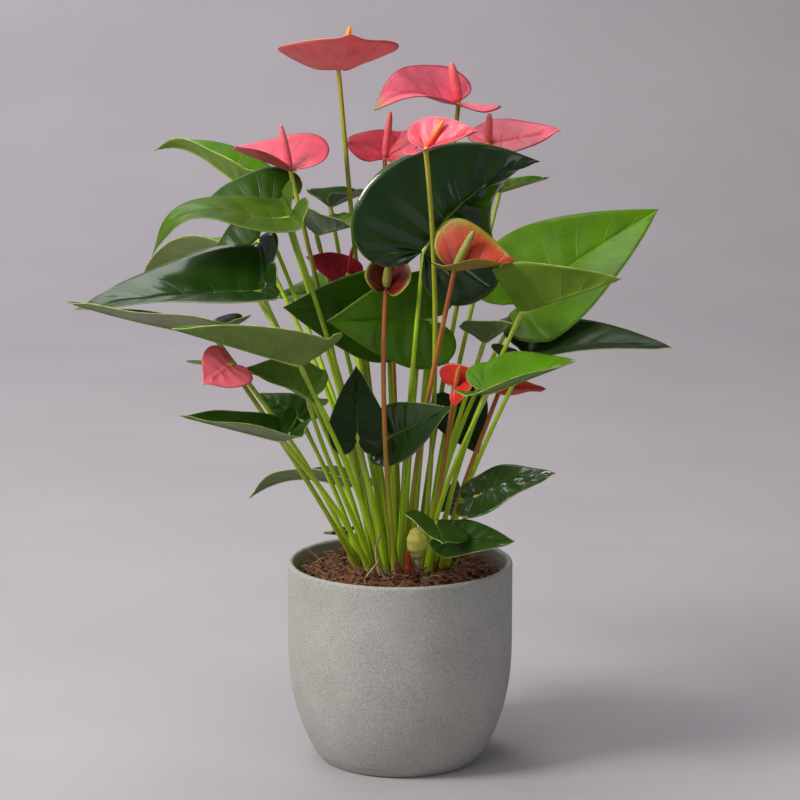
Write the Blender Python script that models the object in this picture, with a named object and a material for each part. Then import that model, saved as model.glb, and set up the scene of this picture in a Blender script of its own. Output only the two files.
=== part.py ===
"""Potted anthurium: a tumbler-shaped cover pot filled with a coarse fibrous mix, and the plant that
stands in it. Every leaf is one piece, a heart-shaped blade on its own leaf stalk. Every flower is a
tall stalk that ends in the finger-like spadix, with a coloured heart-shaped spathe clasped round it.

Metres, +Z up. The origin is the centre of the pot's flat underside, and the front is at -Y.
"""
from math import atan2, cos, degrees, hypot, pi, radians, sin

import bmesh
import bpy
from mathutils import Vector
from mathutils.geometry import interpolate_bezier

# Driving dimensions
POT_RADIUS = 0.095
POT_BASE_RADIUS = 0.069
POT_HEIGHT = 0.170
POT_WALL = 0.005
POT_FLOOR = 0.007
POT_SHOULDER = 0.105        # above this height the wall is upright
MIX_LEVEL = 0.162           # top of the mix in the middle, where the stalks stand
MIX_EDGE_DROP = 0.011       # how much lower the mix lies at the wall
CROWN_RADIUS = 0.053        # the level ground round the stalks
GAP = 0.0003                # clearance between touching pieces
FOOT_CLEARANCE = 0.0012     # keeps a leaning stalk's foot clear of the mix

BLADE_THICKNESS = 0.0010
LEAF_STALK_RADIUS = (0.0023, 0.0017)    # at the foot, at the blade
FLOWER_STALK_RADIUS = (0.0022, 0.0019)

LEAF_ROWS = 8
LEAF_COLUMNS = 2            # in each half
STALK_RINGS = 6

SPADIX_NECK = 0.0025        # bare stalk between the spathe and the spadix
# How full the spadix is, as (share of its length, share of its radius).
SPADIX_OUTLINE = ((0.08, 0.90), (0.45, 0.95), (0.85, 0.72), (1.0, 0.25))
SPATHE_MOUTH_RADIUS = 0.0036    # the space that a spathe leaves round its stalk
SPADIX_ROOM = 0.0008        # the space that it leaves round its spadix

# Outlines of half a blade, as (along the midrib, out from it) in midrib lengths. They start at the
# notch, run round the lobe behind the junction, and end at the tip.
LEAF_OUTLINE = (
    (-0.12, 0.04), (-0.21, 0.13), (-0.22, 0.26), (-0.13, 0.38), (0.04, 0.44), (0.24, 0.43),
    (0.45, 0.35), (0.65, 0.24), (0.82, 0.125), (0.93, 0.045), (1.00, 0.0),
)
SPATHE_OUTLINE = (
    (-0.10, 0.06), (-0.23, 0.14), (-0.28, 0.27), (-0.20, 0.41), (-0.01, 0.49), (0.23, 0.48),
    (0.46, 0.39), (0.66, 0.27), (0.83, 0.14), (0.94, 0.05), (1.00, 0.0),
)
LOBE_HINGE = 0.08           # where a lifted lobe reaches its full angle, in midrib lengths
VEIN_FAN = 0.30             # share of the outline whose veins start at the junction itself


def clear_scene():
    for old in list(bpy.data.objects):
        bpy.data.objects.remove(old)


def paint(piece, colour, roughness):
    """Gives the piece a material of its own."""
    surface = bpy.data.materials.new(piece.name)
    surface.use_nodes = True
    shader = surface.node_tree.nodes["Principled BSDF"]
    shader.inputs["Base Color"].default_value = (*colour, 1.0)
    shader.inputs["Roughness"].default_value = roughness
    shader.inputs["Metallic"].default_value = 0.0
    surface.diffuse_color = (*colour, 1.0)
    piece.data.materials.clear()
    piece.data.materials.append(surface)


def add_piece(name, mesh):
    piece = bpy.data.objects.new(name, mesh)
    bpy.context.scene.collection.objects.link(piece)
    return piece


def add_helper(name, mesh):
    """A cutter or a piece to be joined, which is not itself part of the plant."""
    helper = add_piece(name, mesh)
    helper.hide_render = True
    helper.display_type = "WIRE"
    return helper


def add_boolean(piece, operation, other):
    modifier = piece.modifiers.new(other.name, "BOOLEAN")
    modifier.operation = operation
    modifier.object = other
    modifier.solver = "EXACT"


def spline_point(points, share):
    """The point at that share, 0 to 1, of a smooth curve through all the given points."""
    place = share * (len(points) - 1)
    index = min(int(place), len(points) - 2)
    t = place - index
    before = points[max(index - 1, 0)]
    start = points[index]
    end = points[index + 1]
    after = points[min(index + 2, len(points) - 1)]
    return tuple(
        0.5 * (2 * b + (c - a) * t + (2 * a - 5 * b + 4 * c - d) * t ** 2
               + (3 * b - a - 3 * c + d) * t ** 3)
        for a, b, c, d in zip(before, start, end, after)
    )


# ---------------------------------------------------------------- blades

def midrib_place(share):
    """Where the vein to that share of the outline leaves the midrib."""
    return max(0.0, (share - VEIN_FAN) / (1.0 - VEIN_FAN)) ** 1.4


def blade_mesh(name, outline, shape):
    """An open sheet in the shape of the blade. Each row of vertices is one side vein."""
    junction = Vector(shape["junction"])
    chord = Vector(shape["tip"]) - junction
    length = chord.length
    faces = Vector(shape["faces"])
    up = (faces - faces.project(chord)).normalized()
    left_side = up.cross(chord).normalized()
    widest = max(out for _, out in outline)
    spread = shape["width"] / (2 * widest * length)
    arch = shape.get("arch", 0.0)
    late = shape.get("late", 0.0)
    sway = shape.get("sway", 0.0)
    cup = shape.get("cup", 0.0)
    folds = [radians(angle) for angle in shape.get("fold", (10, 10))]
    rolls = [radians(angle) for angle in shape.get("roll", (0, 0))]
    lifts = [radians(angle) for angle in shape.get("lift", (0, 0))]

    def midrib(along):
        inside = max(along, 0.0)
        rise = arch * 4 * along * (1 - inside) + late * 6.75 * inside ** 2 * (1 - inside)
        bowed = sway * 4 * along * (1 - inside)
        return junction + chord * along + up * length * rise + left_side * length * bowed

    def place(along, out, left):
        """A point of the sheet, from its place in the flat outline."""
        ahead = (midrib(along + 0.01) - midrib(along - 0.01)).normalized()
        side = up.cross(ahead).normalized()
        over = ahead.cross(side)
        half = 0 if left else 1
        tilt = folds[half] + rolls[half] * max(along, 0.0)
        reach = out * spread * length
        across = side if left else -side
        behind = max(-along, 0.0)
        hinge = lifts[half] * min(1.0, behind / LOBE_HINGE)
        lobe = chord * behind * (1 - cos(hinge)) + up * length * behind * sin(hinge)
        bowl = up * length * cup * (along * (along - 1) + (out * spread) ** 2)
        return midrib(along) + across * reach * cos(tilt) + over * reach * sin(tilt) + lobe + bowl

    mesh = bpy.data.meshes.new(name)
    sheet = bmesh.new()
    bmesh.ops.create_grid(sheet, x_segments=2 * LEAF_COLUMNS, y_segments=LEAF_ROWS, size=1.0)
    for vertex in sheet.verts:
        across = vertex.co.x
        share = (vertex.co.y + 1) / 2
        edge_along, edge_out = spline_point(outline, share)
        root = midrib_place(share)
        along = root + (edge_along - root) * abs(across) ** 1.2
        vertex.co = place(along, edge_out * abs(across), across > 0)
    bmesh.ops.remove_doubles(sheet, verts=sheet.verts, dist=1e-5)
    bmesh.ops.recalc_face_normals(sheet, faces=sheet.faces)
    sheet.to_mesh(mesh)
    sheet.free()
    return mesh


def add_thickness(piece):
    modifier = piece.modifiers.new("thickness", "SOLIDIFY")
    modifier.thickness = BLADE_THICKNESS
    modifier.offset = 0.0


# ---------------------------------------------------------------- stalks

def stalk_route(foot, junction, bow, bend, count):
    """Points up a stalk that rises steeply from its foot, then leans out to the junction.

    bow holds the lower part upright, and bend moves the middle sideways by about that much.
    """
    foot = Vector((foot[0], foot[1], MIX_LEVEL + FOOT_CLEARANCE))
    reach = junction - foot
    level = Vector((reach.x, reach.y, 0.0))
    sideways = Vector((bend[0], bend[1], 0.0)) / 0.75
    start = foot + Vector((0, 0, 0.35 * reach.z)) + level * (0.35 - bow) + sideways
    end = junction - Vector((0, 0, 0.30 * reach.z)) - level * (0.30 + bow / 3) + sideways
    return interpolate_bezier(foot, start, end, junction, count)


def tube_mesh(name, route, radii):
    """A round stalk along the route, closed at both ends."""
    curve = bpy.data.curves.new(name, "CURVE")
    curve.dimensions = "3D"
    curve.bevel_depth = 1.0
    curve.bevel_resolution = 1
    curve.use_fill_caps = True
    spline = curve.splines.new("POLY")
    spline.points.add(len(route) - 1)
    for point, place, radius in zip(spline.points, route, radii):
        point.co = (*place, 1.0)
        point.radius = radius
    guide = add_piece(name, curve)
    bpy.context.view_layer.update()
    mesh = bpy.data.meshes.new_from_object(guide.evaluated_get(bpy.context.evaluated_depsgraph_get()))
    bpy.data.objects.remove(guide)
    bpy.data.curves.remove(curve)
    body = bmesh.new()
    body.from_mesh(mesh)
    bmesh.ops.remove_doubles(body, verts=body.verts, dist=1e-5)
    bmesh.ops.recalc_face_normals(body, faces=body.faces)
    body.to_mesh(mesh)
    body.free()
    return mesh


def even_radii(start, end, count):
    return [start + (end - start) * i / (count - 1) for i in range(count)]


# ---------------------------------------------------------------- leaves

def add_leaf(name, **shape):
    """One leaf: the blade and its stalk, grown as one piece."""
    junction = Vector(shape["junction"])
    blade = add_piece(name, blade_mesh(name, LEAF_OUTLINE, shape))
    add_thickness(blade)
    thin = shape.get("stalk", 1.0)
    bow = shape.get("bow", 0.18)
    route = stalk_route(shape["foot"], junction, bow, shape.get("bend", (0, 0)), STALK_RINGS)
    radii = even_radii(LEAF_STALK_RADIUS[0] * thin, LEAF_STALK_RADIUS[1] * thin, STALK_RINGS)
    stalk = add_helper(name + "_stalk", tube_mesh(name + "_stalk", route, radii))
    add_boolean(blade, "UNION", stalk)
    paint(blade, shape.get("colour", MATURE), 0.35)


# ---------------------------------------------------------------- flowers

def add_flower(name, foot, spathe, spadix, stalk_colour, bow=0.12, bend=(0, 0)):
    """A stalk that ends in its spadix, and the spathe round it with a small gap."""
    junction = Vector(spathe["junction"])
    top = Vector(spadix["tip"])
    neck = junction + (top - junction).normalized() * SPADIX_NECK
    route = list(stalk_route(foot, junction, bow, bend, STALK_RINGS))
    radii = even_radii(*FLOWER_STALK_RADIUS, STALK_RINGS)
    for share, fullness in SPADIX_OUTLINE:
        route.append(neck.lerp(top, share))
        radii.append(spadix["radius"] * fullness)
    stalk = add_piece(name + "_stalk", tube_mesh(name + "_stalk", route, radii))
    paint(stalk, stalk_colour, 0.45)

    bract = add_piece(name + "_spathe", blade_mesh(name + "_spathe", SPATHE_OUTLINE, spathe))
    add_thickness(bract)
    mouth = bpy.data.meshes.new(name + "_mouth")
    ball = bmesh.new()
    bmesh.ops.create_icosphere(ball, subdivisions=2, radius=SPATHE_MOUTH_RADIUS)
    bmesh.ops.translate(ball, verts=ball.verts, vec=junction)
    ball.to_mesh(mouth)
    ball.free()
    add_boolean(bract, "DIFFERENCE", add_helper(name + "_mouth", mouth))
    room = spadix["radius"] + SPADIX_ROOM
    around = tube_mesh(name + "_room", [junction, top + (top - junction) * 0.1], [room, room])
    add_boolean(bract, "DIFFERENCE", add_helper(name + "_room", around))
    paint(bract, spathe["colour"], 0.35)


# ---------------------------------------------------------------- pot and mix

def pot_outside(height):
    """Radius of the pot's outer face: upright above the shoulder, drawn in to the base below it."""
    below = max(0.0, 1.0 - height / POT_SHOULDER)
    return POT_RADIUS - (POT_RADIUS - POT_BASE_RADIUS) * below ** 2.5


def turned_mesh(name, profile, steps):
    """The solid that the profile, (radius, height) pairs from axis to axis, sweeps round Z."""
    mesh = bpy.data.meshes.new(name)
    body = bmesh.new()
    corners = [body.verts.new((radius, 0.0, height)) for radius, height in profile]
    edges = [body.edges.new(pair) for pair in zip(corners, corners[1:])]
    bmesh.ops.spin(
        body, geom=corners + edges, cent=(0, 0, 0), axis=(0, 0, 1), angle=2 * pi,
        steps=steps, use_merge=True,
    )
    bmesh.ops.remove_doubles(body, verts=body.verts, dist=1e-5)
    bmesh.ops.recalc_face_normals(body, faces=body.faces)
    body.to_mesh(mesh)
    body.free()
    return mesh


def add_pot():
    foot_round = 0.003
    lip_round = 0.002
    outer = [(0.0, 0.0), (POT_BASE_RADIUS - foot_round, 0.0)]
    for height in (0.004, 0.016, 0.032, 0.052, 0.076, POT_SHOULDER, POT_HEIGHT - lip_round):
        outer.append((pot_outside(height), height))
    lip = [(POT_RADIUS - lip_round, POT_HEIGHT), (POT_RADIUS - POT_WALL + lip_round, POT_HEIGHT)]
    inner = []
    for height in (POT_HEIGHT - lip_round, POT_SHOULDER, 0.076, 0.052, 0.032, 0.018):
        inner.append((pot_outside(height) - POT_WALL, height))
    floor = [(POT_BASE_RADIUS - POT_WALL - 0.004, POT_FLOOR), (0.0, POT_FLOOR)]
    pot = add_piece("pot", turned_mesh("pot", outer + lip + inner + floor, 40))
    pot.data.shade_smooth()
    pot.data.set_sharp_from_angle(angle=radians(40))
    paint(pot, (0.42, 0.42, 0.40), 0.85)


def add_mix():
    """The planting mix: level round the stalks, lumpy outside them, lower at the wall."""
    side = []
    for height in (0.018, 0.032, 0.052, 0.076, POT_SHOULDER):
        side.append((pot_outside(height) - POT_WALL - 2 * GAP, height))
    wall = POT_RADIUS - POT_WALL - 2 * GAP
    profile = [(0.0, POT_FLOOR + GAP), (POT_BASE_RADIUS - POT_WALL - 0.006, POT_FLOOR + GAP)]
    profile += side
    profile += [(wall, MIX_LEVEL - MIX_EDGE_DROP), (wall - 0.006, MIX_LEVEL - MIX_EDGE_DROP + 0.002)]
    profile += [(0.072, MIX_LEVEL - 0.002), (0.060, MIX_LEVEL)]
    profile += [(CROWN_RADIUS, MIX_LEVEL), (0.0, MIX_LEVEL)]
    mesh = turned_mesh("potting_mix", profile, 36)
    for vertex in mesh.vertices:
        away = hypot(vertex.co.x, vertex.co.y)
        if vertex.co.z > MIX_LEVEL - 0.006 and CROWN_RADIUS + 0.005 < away < wall - 0.003:
            heading = atan2(vertex.co.y, vertex.co.x)
            vertex.co.z += 0.0016 * sin(7 * heading + 90 * away) + 0.0012 * sin(13 * heading)
    mix = add_piece("potting_mix", mesh)
    paint(mix, (0.10, 0.055, 0.035), 0.95)


def add_crown_shoot():
    """The pale swollen shoot that stands on a thin neck among the stalks."""
    foot = Vector((0.016, -0.034, MIX_LEVEL + 0.0010))
    top = Vector((0.013, -0.041, MIX_LEVEL + 0.0460))
    shares = (0.0, 0.20, 0.42, 0.55, 0.68, 0.82, 0.94, 1.0)
    girths = (0.0028, 0.0022, 0.0026, 0.0064, 0.0088, 0.0078, 0.0045, 0.0020)
    route = [foot.lerp(top, share) for share in shares]
    shoot = add_piece("crown_shoot", tube_mesh("crown_shoot", route, girths))
    paint(shoot, (0.62, 0.60, 0.22), 0.5)


# ---------------------------------------------------------------- colours

MATURE = (0.020, 0.070, 0.012)
FRESH = (0.120, 0.250, 0.020)
PALE = (0.220, 0.330, 0.090)
STALK_GREEN = (0.300, 0.430, 0.030)
STALK_BROWN = (0.300, 0.130, 0.030)
PINK = (0.800, 0.120, 0.150)
RED = (0.420, 0.020, 0.035)
ORANGE = (0.620, 0.200, 0.060)

clear_scene()
add_pot()
add_mix()
add_crown_shoot()

# The leaves, from the left of the front view to the right. foot is where the stalk stands on the mix,
# junction is where it meets the blade, and faces is where the upper side looks. Pairs of angles, in
# degrees, are for the left and right halves: fold lifts them about the midrib, roll adds to the fold
# towards the tip, and lift raises the lobes behind the junction. arch bows the midrib, late bows it
# near the tip, sway bows it sideways, and cup hollows the blade.
add_leaf("leaf_01", foot=(-0.018, 0.027), junction=(-0.129, 0.13, 0.469), tip=(-0.217, 0.165, 0.5),
         faces=(0, 0, 1), width=0.08, fold=(36, 26), lift=(20, 20), late=0.12, colour=FRESH)
add_leaf("leaf_02", foot=(-0.0195, 0.016), junction=(-0.1, 0.045, 0.466), tip=(-0.169, 0.055, 0.463),
         faces=(0, -0.5, 0.87), width=0.066, fold=(-5, 30), lift=(0, 10), arch=0.05)
add_leaf("leaf_03", foot=(-0.014, 0.003), junction=(-0.091, -0.03, 0.464), tip=(-0.2, -0.055, 0.435),
         faces=(0, -0.05, 1), width=0.078, fold=(-8, 14), lift=(50, 60), arch=0.03, late=0.2,
         colour=FRESH)
add_leaf("leaf_04", foot=(-0.025, 0.021), junction=(-0.122, 0.09, 0.43), tip=(-0.169, 0.105, 0.389),
         faces=(0.3, -0.6, 0.7), width=0.055, fold=(10, 10), lift=(28, 28), arch=0.05, bow=0.32)
add_leaf("leaf_05", foot=(-0.025, 0.003), junction=(-0.113, -0.05, 0.406), tip=(-0.263, -0.09, 0.396),
         faces=(0, -0.3, 0.95), width=0.096, fold=(16, 28), roll=(0, -20), lift=(80, 60), arch=0.03)
add_leaf("leaf_06", foot=(-0.026, 0.033), junction=(-0.146, 0.15, 0.403), tip=(-0.233, 0.19, 0.381),
         faces=(0, 0, 1), width=0.072, fold=(35, 20), lift=(28, 28), arch=0.14, colour=PALE, bow=0.35)
add_leaf("leaf_07", foot=(-0.036, -0.006), junction=(-0.149, -0.1, 0.379), tip=(-0.261, -0.125, 0.409),
         faces=(0, 0, 1), width=0.075, fold=(24, 8), lift=(28, 28), arch=-0.02, colour=PALE)
add_leaf("leaf_08", foot=(-0.015, -0.026), junction=(-0.078, -0.14, 0.361), tip=(-0.175, -0.17, 0.395),
         faces=(0, 0, 1), width=0.1, fold=(36, 20), lift=(40, 30), colour=FRESH)
add_leaf("leaf_09", foot=(-0.021, -0.008), junction=(-0.075, -0.06, 0.32), tip=(-0.129, -0.07, 0.345),
         faces=(0, -0.5, 0.8), width=0.064, fold=(38, 15), lift=(50, 40), arch=0.06, colour=FRESH,
         bend=(-0.007, -0.002))
add_leaf("leaf_10", foot=(-0.034, 0.011), junction=(-0.082, 0, 0.289), tip=(-0.12, 0.02, 0.309),
         faces=(0, -0.6, 0.8), width=0.04, fold=(10, 10), lift=(28, 28), arch=0.05)
add_leaf("leaf_11", foot=(-0.024, -0.024), junction=(-0.093, -0.115, 0.296), tip=(-0.171, -0.16, 0.325),
         faces=(0, 0, 1), width=0.052, fold=(18, 38), lift=(60, 60))
add_leaf("leaf_12", foot=(-0.032, 0.041), junction=(-0.048, 0.075, 0.217), tip=(-0.134, 0.12, 0.196),
         faces=(0, 0, 1), width=0.06, fold=(30, 10), lift=(12, 12), arch=0.12)
add_leaf("leaf_13", foot=(-0.038, 0.029), junction=(-0.045, 0.036, 0.184), tip=(-0.066, 0.046, 0.182),
         faces=(0, 0, 1), width=0.022, fold=(20, 20), lift=(28, 28), stalk=0.7)
add_leaf("leaf_14", foot=(-0.012, -0.01), junction=(-0.035, -0.034, 0.282), tip=(-0.036, -0.038, 0.343),
         faces=(0, -1, 0.1), width=0.048, fold=(10, 10), lift=(28, 28))
add_leaf("leaf_15", foot=(-0.004, -0.018), junction=(-0.01, -0.03, 0.281), tip=(0.042, -0.08, 0.316),
         faces=(0.1, -0.9, 0.4), width=0.05, fold=(10, 10), lift=(28, 28))
add_leaf("leaf_16", foot=(-0.004, 0.005), junction=(-0.01, 0.018, 0.374), tip=(-0.097, -0.005, 0.386),
         faces=(0, -0.97, 0.22), width=0.078, fold=(10, 10), lift=(28, 28), arch=0.05)
add_leaf("leaf_17", foot=(0.01, 0.01), junction=(0.025, -0.005, 0.376), tip=(-0.06, -0.04, 0.38),
         faces=(0, -1, 0.12), width=0.082, fold=(10, 10), lift=(28, 28), arch=0.05)
add_leaf("leaf_18", foot=(0.003, 0.022), junction=(0.017, 0.04, 0.361), tip=(-0.024, 0.034, 0.349),
         faces=(0, -1, 0.05), width=0.062, fold=(5, 5))
add_leaf("leaf_19", foot=(-0.001, -0.011), junction=(0.019, -0.05, 0.439), tip=(0.113, -0.035, 0.51),
         faces=(0, -1, 0.15), width=0.134, fold=(5, -8), roll=(0, -95), lift=(10, 0), arch=0.06,
         sway=0.1)
add_leaf("leaf_20", foot=(0.022, 0.029), junction=(0.085, 0.08, 0.473), tip=(0.129, 0.11, 0.482),
         faces=(0, 0, 1), width=0.03, fold=(30, 20), lift=(28, 28), colour=FRESH)
add_leaf("leaf_21", foot=(0.026, 0.012), junction=(0.103, 0.03, 0.385), tip=(0.22, 0.07, 0.459),
         faces=(-0.2, -0.8, 0.5), width=0.112, fold=(5, 20), lift=(28, 28), arch=0.05, colour=FRESH,
         bow=0.25, bend=(-0.006, 0.003))
add_leaf("leaf_22", foot=(0.032, -0.003), junction=(0.097, -0.09, 0.395), tip=(0.173, -0.13, 0.428),
         faces=(0, 0.85, 0.5), width=0.09, fold=(70, 8), lift=(80, 70), colour=FRESH,
         bend=(-0.004, 0.004))
add_leaf("leaf_23", foot=(0.036, 0.006), junction=(0.106, -0.005, 0.347), tip=(0.221, -0.05, 0.36),
         faces=(0, -0.15, 1), width=0.074, fold=(25, 6), lift=(35, 35), arch=0.04)
add_leaf("leaf_24", foot=(0.023, -0.015), junction=(0.069, -0.11, 0.333), tip=(0.138, -0.14, 0.365),
         faces=(0, -0.1, 1), width=0.074, fold=(34, 14), lift=(28, 28), colour=FRESH, bow=0.3)
add_leaf("leaf_25", foot=(0.027, 0.021), junction=(0.047, 0.032, 0.301), tip=(0.067, 0.036, 0.253),
         faces=(0, -1, 0.1), width=0.05, fold=(10, 10))
add_leaf("leaf_26", foot=(0.038, -0.006), junction=(0.062, -0.052, 0.236), tip=(0.126, -0.08, 0.262),
         faces=(0, -0.5, 0.86), width=0.052, fold=(6, -2), lift=(0, 20), arch=0.04)
add_leaf("leaf_27", foot=(0.024, -0.028), junction=(0.029, -0.086, 0.222), tip=(0.034, -0.12, 0.213),
         faces=(0.25, -0.8, 0.55), width=0.056, fold=(-12, 14), lift=(10, 0), stalk=0.9)
add_leaf("leaf_28", foot=(0.032, -0.021), junction=(0.042, -0.07, 0.204), tip=(0.092, -0.112, 0.213),
         faces=(0, -0.75, 0.65), width=0.036, fold=(10, 6), lift=(28, 28), stalk=0.9)
add_leaf("leaf_29", foot=(-0.01, 0.0245), junction=(-0.06, 0.1, 0.458), tip=(-0.027, 0.16, 0.465),
         faces=(0, 0, 1), width=0.05, fold=(30, 30), lift=(28, 28), bend=(-0.001, 0.003))
add_leaf("leaf_30", foot=(-0.011, 0.017), junction=(-0.071, 0.06, 0.439), tip=(-0.04, 0.01, 0.452),
         faces=(0, 0, 1), width=0.06, fold=(30, 50), lift=(28, 28), colour=PALE)
add_leaf("leaf_31", foot=(-0.011, 0.0305), junction=(-0.05, 0.105, 0.385), tip=(-0.11, 0.13, 0.375),
         faces=(0, -0.5, 0.8), width=0.06, fold=(10, 10), lift=(28, 28), colour=PALE)
add_leaf("leaf_32", foot=(0.018, 0.004), junction=(0.07, 0, 0.356), tip=(0.092, -0.05, 0.38),
         faces=(0, 0, 1), width=0.05, fold=(45, 40), lift=(28, 28))
add_leaf("leaf_33", foot=(0.03, 0.036), junction=(0.04, 0.048, 0.202), tip=(0.05, 0.066, 0.224),
         faces=(0, -0.8, 0.5), width=0.03, fold=(10, 10), lift=(28, 28), stalk=0.8)

# The flowers: the tall pink ones first, then the small ones and those that turn green with age.
add_flower("flower_01", foot=(-0.003, 0.02), bow=-0.2, stalk_colour=STALK_GREEN,
           spathe=dict(junction=(-0.052, 0.08, 0.576), tip=(-0.041, 0.005, 0.61), faces=(0, 0, 1),
                       width=0.104, fold=(14, 14), cup=0.2, colour=PINK),
           spadix=dict(tip=(-0.042, 0.085, 0.613), radius=0.003))
add_flower("flower_02", foot=(-0.023, 0.01), stalk_colour=STALK_GREEN,
           spathe=dict(junction=(-0.091, 0.025, 0.496), tip=(-0.141, 0.062, 0.511),
                       faces=(0.2, -0.6, 0.8), width=0.088, fold=(48, 14), colour=PINK),
           spadix=dict(tip=(-0.099, 0.025, 0.535), radius=0.0032))
add_flower("flower_03", foot=(0, 0.032), stalk_colour=STALK_BROWN,
           spathe=dict(junction=(-0.013, 0.075, 0.501), tip=(0.002, 0.121, 0.521),
                       faces=(-0.1, -0.4, 0.9), width=0.072, fold=(25, 25), colour=PINK),
           spadix=dict(tip=(-0.008, 0.07, 0.542), radius=0.0032))
add_flower("flower_04", foot=(0.01, 0.019), stalk_colour=STALK_GREEN,
           spathe=dict(junction=(0.049, 0.05, 0.55), tip=(-0.021, 0, 0.548), faces=(0.1, -0.4, 0.9),
                       width=0.084, fold=(18, 22), late=0.16, colour=PINK),
           spadix=dict(tip=(0.043, 0.05, 0.584), radius=0.0045))
add_flower("flower_05", foot=(0.017, -0.012), bend=(0.01, 0), stalk_colour=STALK_GREEN,
           spathe=dict(junction=(0.02, -0.105, 0.526), tip=(0.061, -0.12, 0.542),
                       faces=(-0.1, -0.7, 0.7), width=0.052, fold=(16, 46), lift=(20, 30), colour=PINK),
           spadix=dict(tip=(0.034, -0.107, 0.549), radius=0.0022))
add_flower("flower_06", foot=(0.014, 0.028), stalk_colour=STALK_GREEN,
           spathe=dict(junction=(0.075, 0.08, 0.513), tip=(0.136, 0.07, 0.526),
                       faces=(-0.1, -0.5, 0.85), width=0.056, fold=(8, 8), colour=PINK),
           spadix=dict(tip=(0.076, 0.08, 0.54), radius=0.0034))
add_flower("flower_07", foot=(-0.006, 0.013), stalk_colour=STALK_GREEN,
           spathe=dict(junction=(-0.044, 0.04, 0.406), tip=(-0.079, 0.036, 0.423),
                       faces=(0.1, -0.6, 0.8), width=0.04, fold=(10, 8), colour=RED),
           spadix=dict(tip=(-0.04, 0.04, 0.431), radius=0.0018))
add_flower("flower_08", foot=(-0.032, -0.016), bow=0.06, stalk_colour=STALK_GREEN,
           spathe=dict(junction=(-0.134, -0.112, 0.356), tip=(-0.154, -0.135, 0.345),
                       faces=(0.1, 0.9, -0.3), width=0.045, fold=(0, -12), cup=0.1, colour=PINK),
           spadix=dict(tip=(-0.17, -0.098, 0.357), radius=0.0018))
add_flower("flower_09", foot=(0.005, -0.006), bow=0.25, stalk_colour=STALK_BROWN,
           spathe=dict(junction=(0.043, -0.1, 0.43), tip=(0.091, -0.108, 0.438), faces=(0, -0.5, 0.85),
                       width=0.082, fold=(42, 46), lift=(0, 20), colour=ORANGE),
           spadix=dict(tip=(0.058, -0.104, 0.462), radius=0.0036))
add_flower("flower_10", foot=(-0.002, -0.033), bend=(-0.006, -0.012), stalk_colour=STALK_BROWN,
           spathe=dict(junction=(-0.0115, -0.035, 0.4055), tip=(-0.003, -0.012, 0.436),
                       faces=(0, -0.9, 0.3), width=0.05, fold=(44, 44), lift=(20, 20), colour=ORANGE),
           spadix=dict(tip=(-0.009, -0.04, 0.428), radius=0.0038))
add_flower("flower_11", foot=(0.025, -0.007), stalk_colour=STALK_BROWN,
           spathe=dict(junction=(0.045, -0.066, 0.331), tip=(0.063, -0.078, 0.346),
                       faces=(0, -0.85, 0.5), width=0.038, fold=(25, 25), colour=RED),
           spadix=dict(tip=(0.048, -0.08, 0.35), radius=0.0022))
add_flower("flower_12", foot=(0.034, 0.016), stalk_colour=STALK_BROWN,
           spathe=dict(junction=(0.084, 0.02, 0.312), tip=(0.124, 0.035, 0.31), faces=(0, -0.4, 0.9),
                       width=0.032, fold=(20, 20), colour=RED),
           spadix=dict(tip=(0.09, 0.022, 0.328), radius=0.002))
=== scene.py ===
"""The looks of a potted anthurium: cover pot, coir mix, leaves, flowers and crown. Metres, +Z up."""

import random
from math import copysign, cos, exp, hypot, pi, radians, sin

import bmesh
import bpy
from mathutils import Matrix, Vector, noise
from mathutils.geometry import interpolate_bezier


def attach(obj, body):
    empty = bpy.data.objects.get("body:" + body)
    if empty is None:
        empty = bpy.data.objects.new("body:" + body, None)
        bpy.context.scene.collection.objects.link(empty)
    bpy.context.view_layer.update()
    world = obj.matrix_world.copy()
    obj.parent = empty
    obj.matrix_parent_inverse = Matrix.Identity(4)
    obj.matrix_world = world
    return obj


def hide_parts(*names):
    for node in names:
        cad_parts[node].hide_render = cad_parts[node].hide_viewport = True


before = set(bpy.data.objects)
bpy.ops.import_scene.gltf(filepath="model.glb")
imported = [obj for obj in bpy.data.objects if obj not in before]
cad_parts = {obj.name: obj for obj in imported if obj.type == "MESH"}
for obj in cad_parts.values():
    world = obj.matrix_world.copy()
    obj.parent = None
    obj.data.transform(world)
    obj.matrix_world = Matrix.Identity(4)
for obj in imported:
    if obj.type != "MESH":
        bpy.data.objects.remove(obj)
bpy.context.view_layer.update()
chance = random.Random(12)


# ---------------------------------------------------------------- cover pot
# A cover pot cast in one piece from fine stone composite, which is mineral powder in resin. It is
# turned smooth, left matt, and has a rounded lip. The nursery pot inside it is out of sight.

POT_RADIUS = 0.095
POT_BASE_RADIUS = 0.069
POT_HEIGHT = 0.170
POT_WALL = 0.005
POT_FLOOR = 0.007
POT_SHOULDER = 0.105            # above this height the wall is upright
POT_FOOT_ROUND = 0.003
POT_STEPS = 144
STONE = "#a4a49f"
STONE_DARK = "#7f7f7b"
STONE_PALE = "#c8c8c3"


def linear(colour):
    """The linear RGBA of an sRGB hex colour."""
    parts = [int(colour[i:i + 2], 16) / 255 for i in (1, 3, 5)]
    return tuple(p / 12.92 if p <= 0.04045 else ((p + 0.055) / 1.055) ** 2.4 for p in parts) + (1.0,)


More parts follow.
